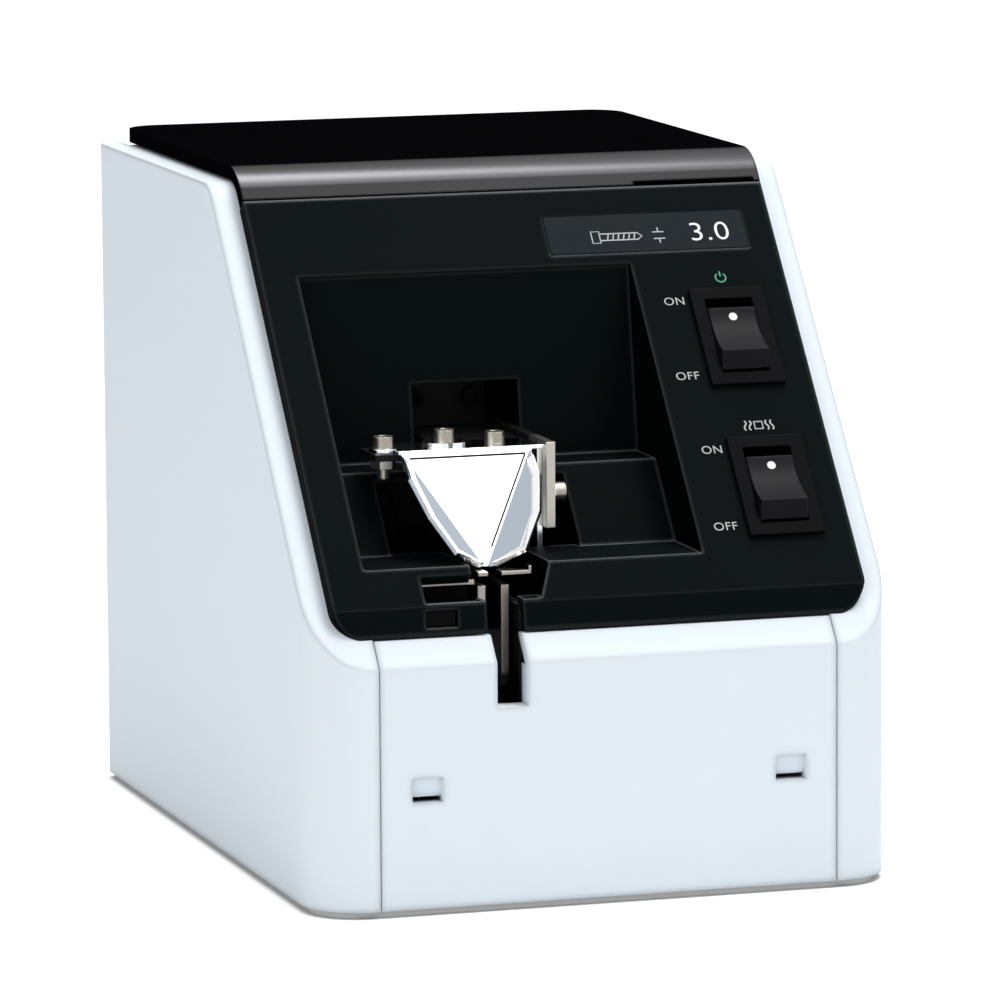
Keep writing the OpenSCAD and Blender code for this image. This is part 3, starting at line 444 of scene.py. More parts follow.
    def _over(
        self, tree: bpy.types.NodeTree, tone: "_ColourMix", colour: Rgb, mask: bpy.types.Node
    ) -> "_ColourMix":
        """Lays a colour over a tone where a mask says so.

        Args:
            tree: the material's tree.
            tone: the tone below.
            colour: the colour laid over it.
            mask: a group with Mask out.

        Returns:
            The new tone.
        """
        mixed = self._mix(tree, self.base, colour)
        join(tree,
             (mask.outputs["Mask"], mixed.inputs["Factor"]),
             (tone.outputs["Result"], mixed.inputs["A"]))
        return mixed

    @staticmethod
    def _mix(tree: bpy.types.NodeTree, a: Rgb, b: Rgb) -> "_ColourMix":
        """Adds a mix of two colours.

        Args:
            tree: the material's tree.
            a: first colour.
            b: second colour.

        Returns:
            The mix with its colour sockets named.
        """
        node = tree.nodes.new("ShaderNodeMix")
        node.data_type = "RGBA"
        for socket in node.inputs:
            if socket.identifier == "A_Color":
                socket.default_value = (*a, 1.0)
            if socket.identifier == "B_Color":
                socket.default_value = (*b, 1.0)
        return _ColourMix(node)

    def apply(self, obj: bpy.types.Object) -> bpy.types.Object:
        """Gives an object this finish only.

        Args:
            obj: mesh or font object.

        Returns:
            The same object.
        """
        obj.data.materials.clear()
        obj.data.materials.append(self.material())
        return obj


class _ColourMix:
    """Names the colour sockets of a mix node.

    Attributes:
        inputs: its colours A and B, and its Factor.
        outputs: its Result.
    """

    def __init__(self, node: bpy.types.Node) -> None:
        """Finds the colour sockets of a mix node.

        Args:
            node: the mix node.
        """
        colour = {s.identifier: s for s in node.inputs}
        self.inputs = {"A": colour["A_Color"], "B": colour["B_Color"], "Factor": colour["Factor_Float"]}
        self.outputs = {"Result": next(s for s in node.outputs if s.identifier == "Result_Color")}


class Palette:
    """Every finish of the feeder."""

    SHELL = Finish("white housing plastic", "shell", (0.785, 0.862, 0.928), (0.87, 0.92, 0.95), 0.45, 0.05,
                   scale=1400.0, depth=0.000012, edge=0.0026, wear_and_highlight=WearAndHighlight.FAINT, tone=0.12, specular=0.3)
    # Painted highlight: the lighter grey edge colour shows on the panel's edges that look up.
    PANEL = Finish("black panel plastic", "panel", (0.0018, 0.0037, 0.0045), (0.30, 0.33, 0.35), 0.55, 0.05,
                   scale=2200.0, depth=0.000018, edge=0.0014, wear_and_highlight=WearAndHighlight.LIGHT, tone=0.003, specular=0.02,
                   # Painted shade: the panel's faces turned sideways take a darker colour.
                   painted_side_shade=(0.0006, 0.0010, 0.0012), lit_edges=True)
    DARK = Finish("black inner plastic", "panel", (0.0015, 0.002, 0.0025), (0.008, 0.008, 0.009), 0.6, 0.06,
                  scale=1800.0, edge=0.0004, specular=0.02)
    SMOKE = Finish("smoked lid", "smoke", (0.0015, 0.0013, 0.0020), (0.004, 0.0035, 0.005), 0.22, 0.02,
                   grain=Grain.SMOOTH, scale=300.0, depth=0.000002, edge=0.0006, wear_and_highlight=WearAndHighlight.FAINT, tone=0.3,
                   specular=0.0, bend_specular=1.0, tint=(0.92, 0.92, 1.0))
    LABEL = Finish("label film", "label", (0.012, 0.017, 0.021), (0.04, 0.046, 0.055), 0.5, 0.04,
                   scale=2600.0, depth=0.000008, edge=0.0002, specular=0.03)
    WINDOW = Finish("sensor window", "window", (0.001, 0.0005, 0.0006), (0.004, 0.001, 0.001), 0.15, 0.02,
                    grain=Grain.SMOOTH, edge=0.0002, specular=0.05)
    SWITCH = Finish("switch housing plastic", "switch", (0.0012, 0.0013, 0.0018), (0.012, 0.012, 0.014),
                    0.45, 0.05, scale=2400.0, edge=0.0005, wear_and_highlight=WearAndHighlight.LIGHT, specular=0.03)
    ROCKER = Finish("rocker plastic", "switch", (0.0035, 0.0035, 0.0048), (0.02, 0.02, 0.024), 0.36, 0.04,
                    scale=2600.0, depth=0.000012, edge=0.0006, wear_and_highlight=WearAndHighlight.LIGHT, specular=0.09)
    # Painted reflection: the wings turned sideways take a darker blue-grey.
    FOLDED = Finish("folded mirror sheet", "chrome", (0.95, 0.955, 0.97), (1.0, 1.0, 1.0), 0.10, 0.04,
                    metallic=1.0, grain=Grain.BRUSHED, scale=900.0, depth=0.000002, edge=0.0003,
                    wear_and_highlight=WearAndHighlight.NONE, tone=0.3, painted_side_shade=(0.44, 0.50, 0.57))
    CHROME = Finish("polished sheet", "chrome", (0.93, 0.935, 0.96), (0.99, 0.99, 1.0), 0.13, 0.04,
                    metallic=1.0, grain=Grain.BRUSHED, scale=900.0, depth=0.000002, edge=0.0003, tone=0.3)
    # Painted shade: the rail's faces turned sideways take a near-black colour.
    RAIL = Finish("ground rail steel", "chrome", (0.33, 0.30, 0.27), (0.6, 0.57, 0.52), 0.3, 0.07,
                  metallic=1.0, grain=Grain.BRUSHED, scale=900.0, depth=0.000004, edge=0.0003, tone=0.4,
                  painted_side_shade=(0.035, 0.033, 0.031))
    STEEL = Finish("plated steel", "steel", (0.50, 0.475, 0.43), (0.75, 0.73, 0.68), 0.3, 0.08,
                   metallic=1.0, grain=Grain.BRUSHED, scale=700.0, depth=0.000006, edge=0.0003, tone=0.4)
    ZINC = Finish("zinc plated sheet", "zinc", (0.55, 0.57, 0.58), (0.7, 0.72, 0.73), 0.38, 0.1,
                  metallic=1.0, scale=500.0, depth=0.000006, edge=0.0004, tone=0.5)
    OXIDE = Finish("blackened steel", "steel", (0.004, 0.004, 0.0045), (0.03, 0.03, 0.03), 0.42, 0.08,
                   scale=900.0, depth=0.000006, edge=0.0003, wear_and_highlight=WearAndHighlight.LIGHT, tone=0.2, specular=0.1)
    BRASS = Finish("turned brass", "brass", (0.72, 0.55, 0.24), (0.86, 0.72, 0.4), 0.3, 0.08, metallic=1.0,
                   grain=Grain.BRUSHED, scale=600.0, edge=0.0003)
    RUBBER = Finish("black rubber", "rubber", (0.012, 0.012, 0.012), (0.05, 0.05, 0.05), 0.8, 0.08,
                    scale=1500.0, depth=0.00003, edge=0.0005)
    NYLON = Finish("natural nylon", "nylon", (0.76, 0.73, 0.64), (0.86, 0.84, 0.78), 0.5, 0.06,
                   scale=1200.0)
    BRISTLE = Finish("brush bristle", "bristle", (0.6, 0.55, 0.4), (0.75, 0.7, 0.58), 0.75, 0.08,
                     grain=Grain.BRUSHED, scale=3000.0, depth=0.0003, edge=0.0002, tone=0.8)
    BOARD = Finish("circuit board", "board", (0.012, 0.10, 0.045), (0.05, 0.2, 0.1), 0.35, 0.06,
                   scale=1600.0, edge=0.0002, tone=0.5)
    INK_WHITE = Finish("white ink", "label", (0.80, 0.81, 0.80), (0.9, 0.9, 0.9), 0.5, 0.04,
                       scale=2000.0, depth=0.000004, edge=0.00005, wear_and_highlight=WearAndHighlight.NONE)
    INK_GREY = Finish("grey ink", "label", (0.42, 0.44, 0.45), (0.5, 0.5, 0.5), 0.5, 0.04,
                      scale=2000.0, depth=0.000004, edge=0.00005, wear_and_highlight=WearAndHighlight.NONE)
    INK_GREEN = Finish("green ink", "label", (0.02, 0.26, 0.13), (0.06, 0.36, 0.2), 0.5, 0.04,
                       scale=2000.0, depth=0.000004, edge=0.00005, wear_and_highlight=WearAndHighlight.NONE)


def dress(finish: Finish, *nodes: str) -> None:
    """Gives CAD nodes a finish.

    Args:
        finish: the finish.
        nodes: names of CAD nodes.
    """
    for name in nodes:
        finish.apply(frame["nodes"][name])


def joint_point(name: str) -> Vector:
    """Gives a joint's position in the row frame.

    Args:
        name: name of the joint.

    Returns:
        The position in metres.
    """
    return Vector(next(j["pos_m"] for j in frame["joints"] if j["name"] == name))


def on_slope(origin: Vector) -> Matrix:
    """Makes a frame on the sloping face: X across, Y up the slope, Z off it.

    Args:
        origin: the frame's origin in the row frame.

    Returns:
        The matrix from that frame to the row frame.
    """
    return Matrix.Translation(origin) @ Matrix.Rotation(SLOPE, 4, "X")


def baked(name: str, draft: bmesh.types.BMesh) -> bpy.types.Mesh:
    """Writes a draft to a new mesh and frees the draft.

    Args:
        name: name of the mesh.
        draft: the finished draft.

    Returns:
        The mesh.
    """
    data = bpy.data.meshes.new(name)
    draft.to_mesh(data)
    draft.free()
    return data


def linked(name: str, data: bpy.types.ID) -> bpy.types.Object:
    """Makes an object of its data and links it to the scene.

    Args:
        name: object name.
        data: mesh, lamp, camera or text.

    Returns:
        The object.
    """
    obj = bpy.data.objects.new(name, data)
    bpy.context.scene.collection.objects.link(obj)
    return obj


# ---------------------------------------------------------------- printed marks


@dataclass
class FlatMark:
    """A thin printed mark made of ribbons on the panel.

    Attributes:
        name: object name.
        line: width of a drawn line, in metres.
        thick: thickness of the print, in metres.
    """

    name: str
    line: float = 0.35 * MM
    thick: float = 0.04 * MM

    def build(
        self, strokes: Iterable[Sequence[Point2]], place: Matrix, finish: Finish, body: str
    ) -> bpy.types.Object:
        """Builds the mark from polylines.

        Args:
            strokes: polylines in millimetres, in the mark's own plane.
            place: matrix from the mark's plane to the row frame.
            finish: the ink.
            body: the CAD body it rides on.

        Returns:
            The mesh object.
        """
        mesh = bmesh.new()
        for stroke in strokes:
            self._ribbon(mesh, [Vector((x * MM, y * MM)) for x, y in stroke])
        obj = linked(self.name, baked(self.name, mesh))
        obj.matrix_world = place
        finish.apply(obj)
        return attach(obj, body)

    def _ribbon(self, mesh: bmesh.types.BMesh, pts: Sequence[Vector]) -> None:
        """Adds one closed, thin ribbon along a polyline.

        Args:
            mesh: the mesh under construction.
            pts: the polyline, in metres.
        """
        closed = (pts[0] - pts[-1]).length < 1e-7 and len(pts) > 3
        pts = list(pts[:-1]) if closed else list(pts)
        count = len(pts)
        rails: list[tuple[Vector, Vector]] = []
        for i, p in enumerate(pts):
            before = pts[i - 1] if closed or i else p
            after = pts[(i + 1) % count] if closed or i < count - 1 else p
            way = (after - before).normalized()
            side = Vector((-way.y, way.x)) * self.line / 2
            rails.append((p + side, p - side))
        rings = []
        for left, right in rails:
            rings.append([mesh.verts.new((q.x, q.y, z)) for q, z in
                          ((left, 0.0), (right, 0.0), (right, self.thick), (left, self.thick))])
        last = count if closed else count - 1
        for i in range(last):
            a, b = rings[i], rings[(i + 1) % count]
            for k in range(4):
                mesh.faces.new((a[k], a[(k + 1) % 4], b[(k + 1) % 4], b[k]))
        if not closed:
            mesh.faces.new(rings[0])
            mesh.faces.new(list(reversed(rings[-1])))


@dataclass
class Lettering:
    """A few raised characters of print.

    Attributes:
        text: the characters.
        cap: height of a capital, in metres.
        wide: horizontal stretch.
        thick: thickness of the print, in metres.
        bold: how much the strokes are thickened, in metres.
        spacing: distance between characters, as a share of the font's own.
        cap_share: height of a capital, as a share of the font's size.
    """

    text: str
    cap: float
    wide: float = 1.0
    thick: float = 0.04 * MM
    bold: float = 0.0
    spacing: float = 1.06
    cap_share: float = 0.729

    def build(self, name: str, place: Matrix, finish: Finish, body: str) -> bpy.types.Object:
        """Builds the characters as a mesh centred on the frame's origin.

        Args:
            name: object name.
            place: matrix from the text's plane to the row frame.
            finish: the ink.
            body: the CAD body it rides on.

        Returns:
            The mesh object.
        """
        curve = bpy.data.curves.new(name, "FONT")
        curve.body = self.text
        curve.size = self.cap / self.cap_share
        curve.align_x = "CENTER"
        curve.align_y = "CENTER"
        curve.extrude = self.thick / 2
        curve.offset = self.bold
        curve.space_character = self.spacing
        draft = linked(name + "_draft", curve)
        graph = bpy.context.evaluated_depsgraph_get()
        data = bpy.data.meshes.new_from_object(draft.evaluated_get(graph))
        bpy.data.objects.remove(draft)
        across, up = [v.co.x for v in data.vertices], [v.co.y for v in data.vertices]
        low, high = Vector((min(across), min(up), 0)), Vector((max(across), max(up), 0))
        data.transform(Matrix.Diagonal((self.wide, 1, 1, 1)) @ Matrix.Translation(-(low + high) / 2))
        obj = linked(name, data)
        obj.matrix_world = place @ Matrix.Translation((0, 0, self.thick / 2))
        finish.apply(obj)
        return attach(obj, body)


def arc(cx: float, cy: float, r: float, start: float, end: float, steps: int = 24) -> list[Point2]:
    """Points of an arc, in millimetres.

    Args:
        cx: centre, across.
        cy: centre, up.
        r: radius.
        start: first angle in degrees.
        end: last angle in degrees.
        steps: number of pieces.

    Returns:
        The points.
    """
    angles = [math.radians(start + (end - start) * i / steps) for i in range(steps + 1)]
    return [(cx + r * math.cos(a), cy + r * math.sin(a)) for a in angles]


# ---------------------------------------------------------------- sub-assemblies


@dataclass
class Housing:
    """White housing, front cover, base plate, feet and screws."""

    def dress(self) -> None:
        """Gives the housing's nodes their finishes."""
        dress(Palette.SHELL, "casing", "front_cover")
        dress(Palette.ZINC, "base_plate")
        dress(Palette.RUBBER, "rubber_feet")
        dress(Palette.STEEL, "base_screws")


@dataclass
class FrontPanel:
    """Black front panel with its label plate, window and printed marks.

    Attributes:
        on_offset: middle of ON from a switch's middle, in millimetres.
        off_offset: middle of OFF from a switch's middle, in millimetres.
        sign_rise: middle of a switch's symbol above its middle, in millimetres.
        word_cap: height of ON and OFF, in metres.
        word_wide: horizontal stretch of ON and OFF.
        number_cap: height of the size number, in metres.
        number_wide: horizontal stretch of the size number.
        number_bold: how much its strokes are thickened, in metres.
        number_at: its middle from the label plate's middle, in millimetres.
        drawing_at: middle of the screw drawing from the plate's middle, in millimetres.
        drawing_line: width of a line of that drawing, in millimetres.
        print_rise: height of the print over the plate's middle, in millimetres.
    """

    on_offset: Point2 = (-11.8, 10.0)
    off_offset: Point2 = (-13.0, -9.15)
    sign_rise: float = 15.6
    word_cap: float = 2.05 * MM
    word_wide: float = 1.06
    number_cap: float = 4.9 * MM
    number_wide: float = 1.10
    number_bold: float = -0.05 * MM
    number_at: Point2 = (14.4, -0.4)
    drawing_at: Point2 = (-5.5, -0.9)
    drawing_line: float = 0.28
    print_rise: float = 0.3

    def dress(self) -> None:
        """Gives the panel's nodes their finishes."""
        dress(Palette.PANEL, "front_panel")
        dress(Palette.LABEL, "label_plate")
        dress(Palette.WINDOW, "sensor_window")

    def print_marks(self) -> None:
        """Prints ON and OFF, the two symbols and the size number."""
        for tag, joint in (("power", "power_switch_rock"), ("vibration", "vibration_switch_rock")):
            home = on_slope(joint_point(joint))
            for word, (dx, dy) in (("ON", self.on_offset), ("OFF", self.off_offset)):
                place = home @ Matrix.Translation((dx * MM, dy * MM, 0))
                mark = Lettering(word, self.word_cap, self.word_wide)
                mark.build(f"{tag}_{word.lower()}", place, Palette.INK_GREY, BODY_HOUSING)
        above = Matrix.Translation((0, self.sign_rise * MM, 0))
        power = on_slope(joint_point("power_switch_rock")) @ above
        FlatMark("power_sign").build(self._power_strokes(), power, Palette.INK_GREEN, BODY_HOUSING)
        shake = on_slope(joint_point("vibration_switch_rock")) @ above
        FlatMark("vibration_sign").build(self._shake_strokes(), shake, Palette.INK_GREY, BODY_HOUSING)
        self._print_label()

    def _print_label(self) -> None:
        """Prints the label plate: the number and a small drawing of a screw with its width."""
        low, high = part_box("label_plate")
        normal = Vector((0, -math.sin(SLOPE), math.cos(SLOPE)))
        plate = on_slope((low + high) / 2 + normal * self.print_rise * MM)
        number, drawing = (plate @ Matrix.Translation((x * MM, y * MM, 0))
                           for x, y in (self.number_at, self.drawing_at))
        digits = Lettering("3.0", self.number_cap, self.number_wide, bold=self.number_bold)
        digits.build("size_number", number, Palette.INK_WHITE, BODY_HOUSING)
        screw = FlatMark("screw_drawing", self.drawing_line * MM)
        screw.build(self._screw_strokes(), drawing, Palette.INK_GREY, BODY_HOUSING)

    @staticmethod
    def _power_strokes() -> list[list[Point2]]:
        """Strokes of the usual power symbol.

        Returns:
            Polylines in millimetres.
        """
        return [arc(0, 0, 1.15, 125, 415), [(0, 0.25), (0, 1.6)]]

    @staticmethod
    def _shake_strokes() -> list[list[Point2]]:
        """Strokes of a shaking block between waves.

        Returns:
            Polylines in millimetres.
        """
        block = [(-0.9, -0.9), (0.9, -0.9), (0.9, 0.9), (-0.9, 0.9), (-0.9, -0.9)]
        waves = []
        for side in (-1, 1):
            for reach in (1.9, 3.0):
                waves.append([(side * (reach + 0.3 * math.sin(math.pi * k / 4)), -1.2 + 2.4 * k / 8)
                              for k in range(9)])
        return [block, *waves]

    @staticmethod
    def _screw_strokes() -> list[list[Point2]]:
        """Strokes of a screw lying on its side, with two arrows at its shank.

        Returns:
            Polylines in millimetres.
        """
        head = [(-7.0, -1.5), (-5.2, -1.5), (-5.2, 1.5), (-7.0, 1.5), (-7.0, -1.5)]
        shank = [(-5.2, -0.85), (3.4, -0.85), (4.4, 0.0), (3.4, 0.85), (-5.2, 0.85)]
        threads = [[(x, -0.85), (x + 0.5, 0.85)] for x in (-3.6, -2.4, -1.2, 0.0, 1.2, 2.4)]
        arrows = [[(8.2, 2.0), (8.2, 0.85)], [(8.2, -2.0), (8.2, -0.85)],
                  [(6.9, 0.85), (9.5, 0.85)], [(6.9, -0.85), (9.5, -0.85)]]
        return [head, shank, *threads, *arrows]


@dataclass
class Lid:
    """Smoked lid and its hinge pins."""

    def dress(self) -> None:
        """Gives the lid's nodes their finishes."""
        dress(Palette.SMOKE, "lid")
        dress(Palette.STEEL, "hinge_pins")


@dataclass
class Switches:
    """The two rocker switches.

    Attributes:
        tilt: tilt of a rocker at rest, in degrees.
        face_radius: radius of the rocker's hollow face, in millimetres.
        face_centre: height of that radius' middle, in millimetres.
        dot_rise: distance of the dot from the pivot along the rocker, in millimetres.
        dot_r: radius of the dot, in millimetres.
        dot_t: thickness of the dot, in millimetres.
    """

    tilt: float = 11.0
    face_radius: float = 16.35
    face_centre: float = 18.0
    dot_rise: float = 4.2
    dot_r: float = 0.95
    dot_t: float = 0.16

    def dress(self) -> None:
        """Gives the switches' nodes their finishes."""
        dress(Palette.SWITCH, "power_switch", "vibration_switch")
        dress(Palette.ROCKER, "power_rocker", "vibration_rocker")

    def dots(self) -> None:
        """Adds the white dot on the ON side of each rocker."""
        lean = math.asin(self.dot_rise / self.face_radius)
        height = self.face_centre - self.face_radius * math.cos(lean)
        for tag in ("power", "vibration"):
            pivot = on_slope(joint_point(f"{tag}_switch_rock"))
            rocker = pivot @ Matrix.Rotation(-math.radians(self.tilt), 4, "X")
            shift = Matrix.Translation((0, self.dot_rise * MM, height * MM))
            place = rocker @ shift @ Matrix.Rotation(lean, 4, "X")
            mesh = bmesh.new()
            bmesh.ops.create_cone(mesh, cap_ends=True, segments=32, radius1=self.dot_r * MM,
                                  radius2=self.dot_r * MM, depth=self.dot_t * MM)
            dot = linked(f"{tag}_dot", baked(f"{tag}_dot", mesh))
            dot.matrix_world = place
            Palette.INK_WHITE.apply(dot)
            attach(dot, f"{tag}_rocker")


def closed_mesh(name: str, rings: Sequence[Sequence[Vector]], finish: Finish, body: str) -> bpy.types.Object:
    """Builds a closed bar from rings of points and lets it ride on a body.

    Args:
        name: object name.
        rings: rings with the same number of points, in the row frame.
        finish: its finish.
        body: the CAD body it rides on.

    Returns:
        The mesh object.
    """
    mesh = bmesh.new()
    made = [[mesh.verts.new(p) for p in ring] for ring in rings]
    for a, b in zip(made, made[1:]):
        for k in range(len(a)):
            mesh.faces.new((a[k], a[(k + 1) % len(a)], b[(k + 1) % len(a)], b[k]))
    mesh.faces.new(list(reversed(made[0])))
    mesh.faces.new(made[-1])
    bmesh.ops.recalc_face_normals(mesh, faces=mesh.faces)
    obj = linked(name, baked(name, mesh))
    finish.apply(obj)
    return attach(obj, body)


@dataclass
class BitGuide:
    """Polished funnel with its bracket and small parts.

    Its points are in millimetres, from the housing's middle, front face and lower edge.

    Attributes:
        apex: lower end of the right wing's lip.
        wing: outer corners of the right wing, from the top down.
        top: upper corner of the right fold.
        fold_foot: point at which both folds meet.
        top_z: height of the funnel's top.
        back_y: back edge of the funnel.
        half: half width of the funnel's flange.
        lip: width of the bent lip on the wings' outer edges.
        lip_start: where the lip starts, as a share of the way from top to the first corner.
        lip_end: width of the lip at its lower end, as a share of its width.
        lip_t: thickness of the lip's inner edge.
        rise: how far the lip's outer edge stands off the wing.
        screw_reach: how far back the bright screws reach, in metres; those behind get a painted shade in the
            blackened-steel colour.
        screw_tone: colour of the bright screws.
        shade_line: width of the painted shade lines below the flange and along the right fold.
        stand: how far these lines stand off the sheet.
        shadow_drop: distance of the painted shadow line below the flange.
        shadow_inset: distance of its ends from the folds.
        crease_shade_span: start and end of the painted shade line along the right fold, from its top.
        crease_shade_inset: distance of that painted shade line from that fold.
    """

    apex: Point3 = (1.1, 15.4, 69.2)
    wing: tuple[Point3, ...] = ((14.2, 24.0, 86.8), (12.0, 17.2, 79.6), (7.5, 13.0, 72.2))
    top: Point3 = (14.2, 30.35, 91.44)
    fold_foot: Point3 = (0.0, 16.6, 67.9)
    top_z: float = 91.7
    back_y: float = 42.0
    half: float = 14.9
    lip: float = 2.1
    lip_start: float = 0.35
    lip_end: float = 0.35
    lip_t: float = 0.06
    rise: float = 0.45
    screw_reach: float = 20.0 * MM
    screw_tone: Rgb = (0.30, 0.27, 0.22)
    shade_line: float = 0.42
    stand: float = 0.12
    shadow_drop: float = 1.3
    shadow_inset: float = 1.5
    crease_shade_span: Point2 = (1.8, 25.0)
    crease_shade_inset: float = 0.5

    def _home(self) -> Vector:
        """Finds the origin of the guide's points.

        Returns:
            The origin in the row frame, in metres.
        """
        low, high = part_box("guide_funnel")
        return Vector((low.x + self.half * MM, high.y - self.back_y * MM, high.z - self.top_z * MM))

    def painted_fold_shade(self) -> None:
        """Adds painted shade: a dark line for the shadow below the flange, and a dark line along the right
        crease.
        """
        home, foot, right = self._home(), Vector(self.fold_foot), Vector(self.top)
        left = Vector((-right.x, right.y, right.z))
        normal = (left - foot).cross(right - foot).normalized()
        normal *= -math.copysign(1.0, normal.y)
        down = (foot - (left + right) / 2).normalized()
        along = (foot - right).normalized()
        inward = Vector((-1.0, 0.0, 0.0))
        drop, short = down * self.shadow_drop, inward * self.shadow_inset
        start, end = (right + along * reach + inward * self.crease_shade_inset for reach in self.crease_shade_span)
        # Painted shade: thin dark bars standing off the sheet, below the flange and along the right fold.
        lines = (("funnel_painted_shadow", left + drop - short, right + drop + short, down),
                 ("funnel_painted_crease_shade", start, end, inward))
        for name, first, last, across in lines:
            rings = []
            for p in (first, last):
                flat = [p, p + across * self.shade_line]
                ring = [*flat, flat[1] + normal * self.stand, flat[0] + normal * self.stand]
                rings.append([home + q * MM for q in ring])
            closed_mesh(name, rings, Palette.OXIDE, BODY_HOUSING)

    def lips(self) -> None:
        """Adds the bright bent lips along the outer edges of the two wings."""
        home, apex, top = self._home(), Vector(self.apex), Vector(self.top)
        first = top.lerp(Vector(self.wing[0]), self.lip_start)
        edge = [first, *(Vector(p) for p in self.wing), apex]
        normal = (top - apex).cross(edge[1] - apex).normalized()
        middle = sum(edge, Vector()) / len(edge) + (top - edge[2]) / len(edge)
        rings = []
        for i, p in enumerate(edge):
            way = (edge[min(i + 1, len(edge) - 1)] - edge[max(i - 1, 0)]).normalized()
            inward = normal.cross(way)
            inward *= math.copysign(1.0, inward.dot(middle - p))
            inner = p + inward * self.lip * (self.lip_end if i == len(edge) - 1 else 1.0)
            rings.append([p, inner, inner - normal * self.lip_t, p - normal * self.rise])
        for side, name in ((1, "funnel_lip_right"), (-1, "funnel_lip_left")):
            placed = [[home + Vector((q.x * side, q.y, q.z)) * MM for q in ring] for ring in rings]
            closed_mesh(name, placed, Palette.CHROME, BODY_HOUSING)

    def dress(self) -> None:
        """Gives the guide's nodes their finishes."""
        dress(Palette.FOLDED, "guide_funnel")
        dress(Palette.CHROME, "guide_washers")
        dress(Palette.OXIDE, "guide_bracket")
        dress(Palette.STEEL, "guide_cheek", "guide_nut")
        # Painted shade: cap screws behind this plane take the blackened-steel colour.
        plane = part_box("cap_screws")[0].y + self.screw_reach
        screws = replace(Palette.STEEL, name="cap screw steel", base=self.screw_tone,
                         painted_far_shade=Palette.OXIDE.base, far_from=plane)
        dress(screws, "cap_screws")


@dataclass
class ScrewRail:
    """Rail plates, rail base, springs, vibrator and escapement.

    Attributes:
        finger_reach: how far back the bright fingers reach; the plate behind them gets a painted shade in the
            blackened-steel colour.
    """

    finger_reach: float = 13.0 * MM

    def dress(self) -> None:
        """Gives the rail's nodes their finishes."""
        dress(Palette.RAIL, "rail_left", "rail_right", "gate_slide")
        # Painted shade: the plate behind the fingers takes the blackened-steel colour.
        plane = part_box("head_guides")[0].y + self.finger_reach
        fingers = replace(Palette.RAIL, name="finger steel", painted_far_shade=Palette.OXIDE.base, far_from=plane)
        dress(fingers, "head_guides")
        dress(Palette.ZINC, "rail_base", "spring_blocks")
        dress(Palette.STEEL, "rail_screws", "leaf_springs", "vibration_motor")
        dress(Palette.BRASS, "eccentric_weight")
        dress(Palette.DARK, "escapement_block")


@dataclass
class ScrewHopper:
    """Hopper, passing plate, brush, lifter and drive."""

    def dress(self) -> None:
        """Gives the hopper's nodes their finishes."""
        dress(Palette.DARK, "hopper", "hopper_floor")
        dress(Palette.OXIDE, "passing_plate", "passing_screws")
        dress(Palette.STEEL, "roller_pin", "cam_shaft", "gear_motor", "guide_rods", "brush_shaft")
        dress(Palette.ZINC, "motor_bracket", "brush_arm")
        dress(Palette.NYLON, "lifter", "lifter_cam")
        dress(Palette.BRASS, "follower_roller")
        dress(Palette.BRISTLE, "brush_bristles")


@dataclass
class Electrics:
    """Circuit board, its parts and the power inlet."""

    def dress(self) -> None:
        """Gives the electric nodes their finishes."""
        dress(Palette.BOARD, "circuit_board")
        dress(Palette.ZINC, "board_parts")
        dress(Palette.RUBBER, "dc_inlet")


# ---------------------------------------------------------------- studio


@dataclass(frozen=True)
class Lamp:
    """One area lamp.

    Attributes:
        name: lamp name.
        at: position in metres.
        size: width and height in metres.
        power: radiant power in watts.
        colour: lamp colour.
    """

    name: str
    at: Point3
    size: Point2
    power: float
    colour: Rgb = (1.0, 1.0, 1.0)

    def build(self, target: Vector) -> bpy.types.Object:
        """Adds the lamp, turned to a target.

        Args:
            target: the point it faces.

        Returns:
            The lamp object.
        """
        data = bpy.data.lights.new(self.name, "AREA")
        data.shape = "RECTANGLE"
        data.size, data.size_y = self.size
        data.energy = self.power
        data.color = self.colour
        obj = linked(self.name, data)
        obj.location = self.at
        obj.rotation_euler = (target - Vector(self.at)).to_track_quat("-Z", "Y").to_euler()
        return obj


